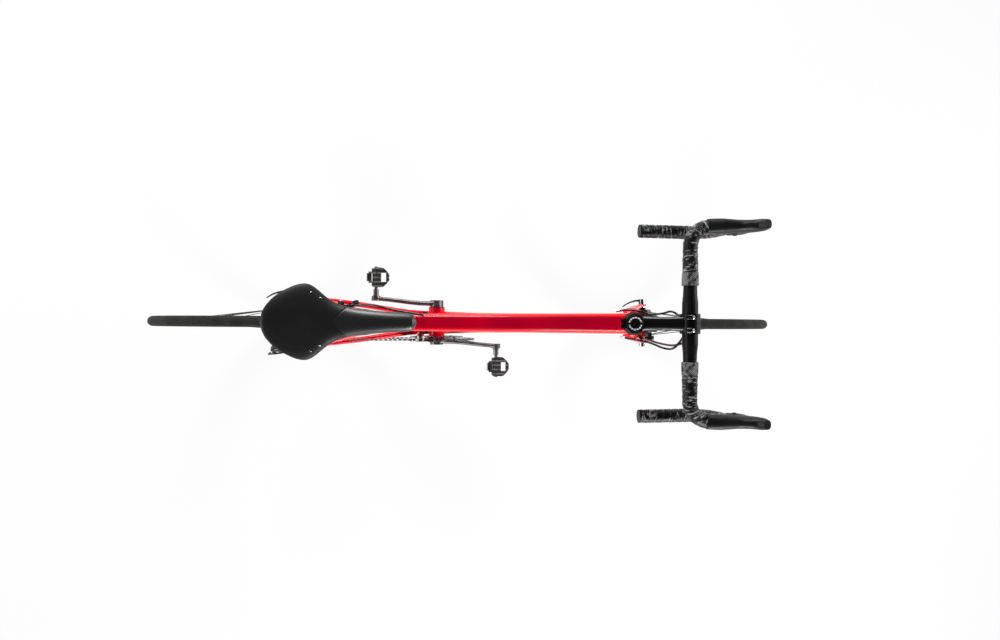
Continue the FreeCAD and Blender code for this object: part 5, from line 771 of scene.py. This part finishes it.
def bandOver(side, label):  # the woven band that finishes the tape beside the stem
    ends = [barCentre + Vector((0, side * wrap[key], 0)) for key in ("start", "bandEnd")]
    band, marks = evenly(ends, wrap["bandStep"])
    around = wrap["bandAround"]

    def reach(row, angle):
        edge = min(row, len(band) - 1 - row) * wrap["bandStep"]
        roll = min(1.0, edge / wrap["bandRoll"]) ** 0.5
        thread = math.sin(marks[row] * 2600) * math.sin(angle * 38) * wrap["thread"]
        return wrapRadius(marks[row], wrap["start"]) + wrap["bandLift"] * roll + 0.0003 + thread

    points = sweptRings(band, around, reach)
    meshPiece(label + "_tape_band", points, ringFaces(len(band), around), "weave", "fork")


wrappedBar(1, "left")
wrappedBar(-1, "right")
print("bars wrapped")

hoses = {  # three belong to no body, and the front brake's stays on the fork
    "radius": 0.0024, "step": 0.0025, "around": 14,
    "frontBrake": [
        (0.36948, -0.036, 0.71072), (0.3648, -0.036, 0.72602), (0.375, -0.044, 0.778), (0.385, -0.047, 0.826),
        (0.395, -0.040, 0.858), (0.396, -0.030, 0.872), (0.3925, -0.045, 0.8812), (0.3925, -0.079, 0.8815),
    ],
    "rearBrake": [
        (0.3925, 0.079, 0.8815), (0.3925, 0.042, 0.8812), (0.397, 0.014, 0.869), (0.388, 0.010, 0.850),
        (0.362, 0.009, 0.842), (0.336, 0.014, 0.837), (0.314, 0.026, 0.829), (0.29387, 0.03, 0.81449),
        (0.26787, 0.027, 0.80149),
    ],
    "leftShift": [
        (0.385, 0.079, 0.8817), (0.385, 0.043, 0.8812), (0.392, 0.019, 0.866), (0.391, 0.016, 0.845),
        (0.378, 0.028, 0.834), (0.362, 0.021, 0.822), (0.338, 0.020, 0.806), (0.31387, 0.030, 0.785),
        (0.29187, 0.03, 0.76249),
    ],
    "rightShift": [
        (0.385, -0.079, 0.8817), (0.385, -0.043, 0.8812), (0.392, -0.024, 0.864), (0.392, -0.036, 0.848),
        (0.378, -0.054, 0.842), (0.360, -0.052, 0.832), (0.338, -0.040, 0.814), (0.31387, -0.035, 0.79349),
        (0.29187, -0.03, 0.76249),
    ],
}


def ferrule(name, place, before, body):
    place, before = Vector(place), Vector(before)
    profile = [(-0.001, 0.0020), (-0.001, 0.0031), (0.010, 0.0031), (0.0112, 0.0027), (0.0112, 0.0020)]
    return turnedPiece(name, place, before - place, profile, "silverAlloy", body, 20)


front = hosePiece("front_brake_hose", hoses["frontBrake"], "fork")
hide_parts("steering_cables")
for name, key in (
    ("rear_brake_hose", "rearBrake"), ("left_shift_hose", "leftShift"), ("right_shift_hose", "rightShift"),
):
    corners = hoses[key]
    hose = hosePiece(name, corners, None)
    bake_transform(hose)
    ferrule(name + "_end", corners[-1], corners[-2], "frame")
ferrule("front_brake_hose_end", hoses["frontBrake"][0], hoses["frontBrake"][1], "fork")
print("housings laid")

brake = {  # rear brake: knurled adjuster on one arm, release cam on the other
    "knurls": 12, "knurlDepth": 0.0005, "barrel": (-0.2895, 0.0425, 0.6765), "barrelWay": (0.86, 0.20, 0.40),
    "barrelProfile": [(-0.0065, 0.0040), (-0.0062, 0.0056), (-0.0045, 0.0060), (0.0040, 0.0060), (0.0056, 0.0052),
                      (0.0062, 0.0034)],
    "cam": (-0.3225, 0.0385, 0.668), "camWay": (0, 1, 0.15), "boltOffset": (0, 0.0075, 0.0011),
    "camProfile": [(-0.0005, 0.0050), (0.0, 0.0068), (0.0028, 0.0072), (0.0062, 0.0072), (0.0078, 0.0060),
                   (0.0080, 0.0030)],
    "boltProfile": [(0, 0.0026), (0.0014, 0.0026), (0.0018, 0.0021), (0.0018, 0.0012)],
}


def knurledPiece(name, start, direction, profile, body):
    around = 4 * brake["knurls"]
    made = turnedPiece(name, start, direction, profile, "plastic", body, around, False)
    place, way = Vector(start), Vector(direction).normalized()
    for vertex in made.data.vertices:
        if 1 <= vertex.index // around < len(profile) - 1 and vertex.index % 4 < 2:
            spoke = vertex.co - place
            spoke -= way * spoke.dot(way)
            vertex.co -= spoke.normalized() * brake["knurlDepth"]


knurledPiece("rear_brake_barrel", brake["barrel"], brake["barrelWay"], brake["barrelProfile"], "rear_brake_left_arm")
knurledPiece("rear_brake_cam", brake["cam"], brake["camWay"], brake["camProfile"], "rear_brake_right_arm")
boltPlace = Vector(brake["cam"]) + Vector(brake["boltOffset"])
turnedPiece("rear_brake_cam_bolt", boltPlace, brake["camWay"], brake["boltProfile"], "silverAlloy",
            "rear_brake_right_arm", 18)
print("rear brake fitted")

seat = {  # saddle: padded body and a smoother nose panel, with a V seam between them
    "nose": -0.159, "length": 0.2725, "rows": 150, "around": 96,
    "seamAt": 0.1245, "seamBack": 0.0235, "seamReach": 0.066, "groove": 0.0009, "grooveHalf": 0.0013,
    "crown": 0.0022, "roll": 2.5, "hollow": 0.0016, "hollowHalf": 0.010,
    "padding": 0.8, "rivetsAt": (0.171, 0.187), "rivetSide": 0.80,
    "rivet": [(0, 0.0016), (0.0008, 0.0016), (0.0013, 0.0011), (0.0015, 0.0002)],
    # from the nose backwards: distance and half width, then distance, top and thickness
    "outline": ((0, 3), (1.6, 8.6), (5.4, 13.7), (13.7, 16.7), (40, 18.4), (71, 20.9), (108, 24.6),
                (132, 30), (152, 38.6), (164, 47.4), (178, 59.6), (188, 66.4), (198, 69.2), (212, 67),
                (226, 60.8), (238, 54), (251, 44.2), (261, 33.2), (266, 25.8), (270.4, 15.5), (272.5, 5)),
    "profile": ((0, 945, 8), (3, 947, 15), (8, 950, 21), (60, 951, 27), (112, 949, 27), (142, 947, 26),
                (181, 948, 24), (202, 951, 24), (228, 955, 22), (246, 957, 20), (258, 957.5, 17),
                (268, 957, 11), (272.5, 955, 4)),
}


def smoothTable(rows, at):  # a smooth curve through the rows of a table in millimetres
    keys = [row[0] / 1000 for row in rows]
    place = max(0, min(len(keys) - 2, sum(1 for key in keys if key <= at) - 1))
    span = keys[place + 1] - keys[place]
    t = min(1.0, max(0.0, (at - keys[place]) / span))
    found = []
    for column in range(1, len(rows[0])):
        values = [row[column] / 1000 for row in rows]

        def slope(index):
            low, high = max(0, index - 1), min(len(keys) - 1, index + 1)
            return (values[high] - values[low]) / (keys[high] - keys[low])

        first, last = slope(place) * span, slope(place + 1) * span
        rise = values[place + 1] - values[place]
        bend, twist = 3 * rise - 2 * first - last, first + last - 2 * rise
        found.append(values[place] + first * t + bend * t**2 + twist * t**3)
    return found


def saddleSize(distance):
    at = min(max(distance, 0.0), seat["length"])
    half, = smoothTable(seat["outline"], at)
    top, thick = smoothTable(seat["profile"], at)
    return max(half, 0.002), top, thick


def saddlePoint(distance, angle):  # angle 0 is the rider's left edge, a quarter turn is the top
    half, top, thick = saddleSize(distance)
    power = 2 / seat["roll"]
    across, up = math.cos(angle), math.sin(angle)
    y = half * math.copysign(abs(across) ** power, across)
    z = thick / 2 * math.copysign(abs(up) ** power, up)
    if up > 0:
        z += seat["crown"] * (1 - (y / half) ** 2) * min(1.0, thick / 0.02)
        width = min(1.0, max(0.0, (half - 0.030) / 0.03))
        z -= seat["hollow"] * width * math.exp(-((y / seat["hollowHalf"]) ** 2))
    return Vector((seat["nose"] - distance, y, top - thick / 2 + z))


def seamedPoint(distance, angle):  # the saddle's surface, drawn back to a V at the seam and sunk along it
    flat = saddlePoint(distance, angle)
    share = abs(flat.y) / saddleSize(distance)[0]
    near = abs(distance - seat["seamAt"])
    lean = max(0.0, math.sin(angle)) ** 0.3 * (1.0 - share) * seat["seamBack"]
    spot = saddlePoint(distance + lean * max(0.0, 1.0 - near / seat["seamReach"]), angle)
    reach = seat["grooveHalf"] * 1.5
    if near < reach:
        centre = Vector((spot.x, 0.0, spot.z - 0.010))
        sunk = seat["groove"] * min(1.0, 0.1 + share * 1.3) * (1.0 - near / reach)
        spot = spot - (spot - centre).normalized() * sunk
    return spot


def saddlePieces():
    around, total, seam = seat["around"], seat["length"], seat["seamAt"]
    base = [total * (0.5 - 0.5 * math.cos(math.pi * row / seat["rows"])) for row in range(seat["rows"] + 1)]
    base += [seam + seat["grooveHalf"] * part for part in (-2.0, -1.0, -0.5, 0.0, 0.5, 1.0, 2.0)]
    base = sorted(set(base))
    angles = [2 * math.pi * step / around for step in range(around)]
    rings = [[seamedPoint(distance, angle) for angle in angles] for distance in base]
    split = base.index(min(base, key=lambda value: abs(value - seam)))
    for name, chosen, finish, end, bulge in (
        ("saddle_nose_panel", rings[:split + 1], "saddleNose", 0, 0.0008),
        ("saddle_body", rings[split:], "saddle", len(rings) - split - 1, -0.0012),
    ):
        points = [spot for ring in chosen for spot in ring]
        faces = ringFaces(len(chosen), around, False) + capFaces(points, end, around, bulge)
        made = meshPiece(name, points, faces, finish, "seat")
        if name == "saddle_body":
            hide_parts("saddle_cover")


def capFaces(points, row, around, bulge):  # closes a ring with smaller ones that round over
    ring = [points[row * around + step] for step in range(around)]
    centre = sum(ring, Vector()) / around
    faces, last = [], [row * around + step for step in range(around)]
    for share, push in ((0.93, 0.45), (0.80, 0.75), (0.55, 0.95)):
        fresh = []
        for place in ring:
            fresh.append(len(points))
            points.append(centre.lerp(place, share) + Vector((bulge * push, 0, 0)))
        for step in range(around):
            ahead = (step + 1) % around
            faces.append((last[step], last[ahead], fresh[ahead], fresh[step]))
        last = fresh
    middle = len(points)
    points.append(centre + Vector((bulge, 0, 0)))
    faces += [(last[step], last[(step + 1) % around], middle) for step in range(around)]
    return faces


def saddleRivets():
    share, roll = seat["rivetSide"], seat["roll"]
    for distance in seat["rivetsAt"]:
        half, top, thick = saddleSize(distance)
        rise = thick / 2 * (1 - share**roll) ** (1 / roll)
        height = top - thick / 2 + rise + seat["crown"] * (1 - share**2)
        for side in (-1, 1):
            place = (seat["nose"] - distance, side * half * share, height - 0.0007)
            turnedPiece("saddle_rivet", place, (0, side * 0.45, 1), seat["rivet"], "silverAlloy", "seat",
                        16)


saddlePieces()
saddleRivets()
print("saddle covered")

studio = {
    "floor": (0.93, 0.93, 0.93), "floorGlow": 0.88, "floorReach": 14.0, "floorDrop": 0.0006,
    "skyTop": 0.015, "skySide": 1.0, "skyLow": 0.06, "skyHigh": 0.50,  # bright round the horizon, dark overhead
    "lampsAimAt": (0, 0, 0.7),  # each lamp: place, power and size
    "lamps": ((-0.6, 2.5, 1.5, 70.0, 1.1), (0.7, -2.5, 1.5, 70.0, 1.1),
              (2.7, 0.4, 1.6, 30.0, 0.9), (-2.9, -0.4, 1.6, 30.0, 0.9)),
    "cameraAt": (-0.1659, 0.0, 2.14345), "lens": 23.34, "pitch": -7.72, "tilt": 0.25, "roll": 0.33,
}


def stageFloor():
    finish = Finish("floor_white")
    seen = finish.rayIs("Camera", "Glossy", "Transmission")
    plain = finish.node("ShaderNodeBsdfDiffuse", links={"Color": studio["floor"]})
    glow = finish.node("ShaderNodeEmission", links={"Color": (1, 1, 1), "Strength": 1.0})
    mixed = finish.node("ShaderNodeMixShader", links={0: seen * studio["floorGlow"], 1: plain, 2: glow})
    reach = studio["floorReach"]
    mesh = bpy.data.meshes.new("floor")
    corners = [(-reach, -reach, 0), (reach, -reach, 0), (reach, reach, 0), (-reach, reach, 0)]
    mesh.from_pydata(corners, [], [(0, 1, 2, 3)])
    mesh.materials.append(finish.finished(mixed))
    floor = bpy.data.objects.new("floor", mesh)
    floor.location.z = -studio["floorDrop"]
    scene.collection.objects.link(floor)


def stageWorld():
    scene.world = bpy.data.worlds.new("studio")
    finish = Finish("studio", scene.world)
    seen = finish.rayIs("Camera", "Transmission")
    height = finish.axes(finish.node("ShaderNodeTexCoord", output="Generated"))[2]
    level = height.ramp(studio["skyLow"], studio["skyHigh"], studio["skySide"], studio["skyTop"])
    strength = seen + (1.0 - seen) * level
    sky = finish.node("ShaderNodeBackground", links={"Color": (1, 1, 1), "Strength": strength})
    finish.finished(sky, "ShaderNodeOutputWorld")


def stageLamps():
    for x, y, z, power, size in studio["lamps"]:
        lamp = bpy.data.lights.new("softbox", "AREA")
        lamp.energy = power
        lamp.size = size
        holder = bpy.data.objects.new("softbox", lamp)
        holder.location = (x, y, z)
        holder.rotation_mode = "QUATERNION"
        aim = Vector(studio["lampsAimAt"]) - holder.location
        holder.rotation_quaternion = aim.to_track_quat("-Z", "Y")
        scene.collection.objects.link(holder)


def stageCamera():
    lens = bpy.data.cameras.new("camera")
    lens.sensor_width = 36.0
    lens.lens = studio["lens"]
    lens.clip_start, lens.clip_end = 0.05, 60.0
    holder = bpy.data.objects.new("camera", lens)
    holder.location = studio["cameraAt"]
    turns = (((0, 1, 0), "pitch"), ((1, 0, 0), "tilt"), ((0, 0, 1), "roll"))
    pitch, tilt, roll = (Quaternion(axis, math.radians(studio[key])) for axis, key in turns)
    holder.rotation_mode = "QUATERNION"
    holder.rotation_quaternion = pitch @ tilt @ roll
    scene.collection.objects.link(holder)
    scene.camera = holder


stageFloor()
stageWorld()
stageLamps()
stageCamera()
scene.view_settings.view_transform = "Standard"

print("scene ready")
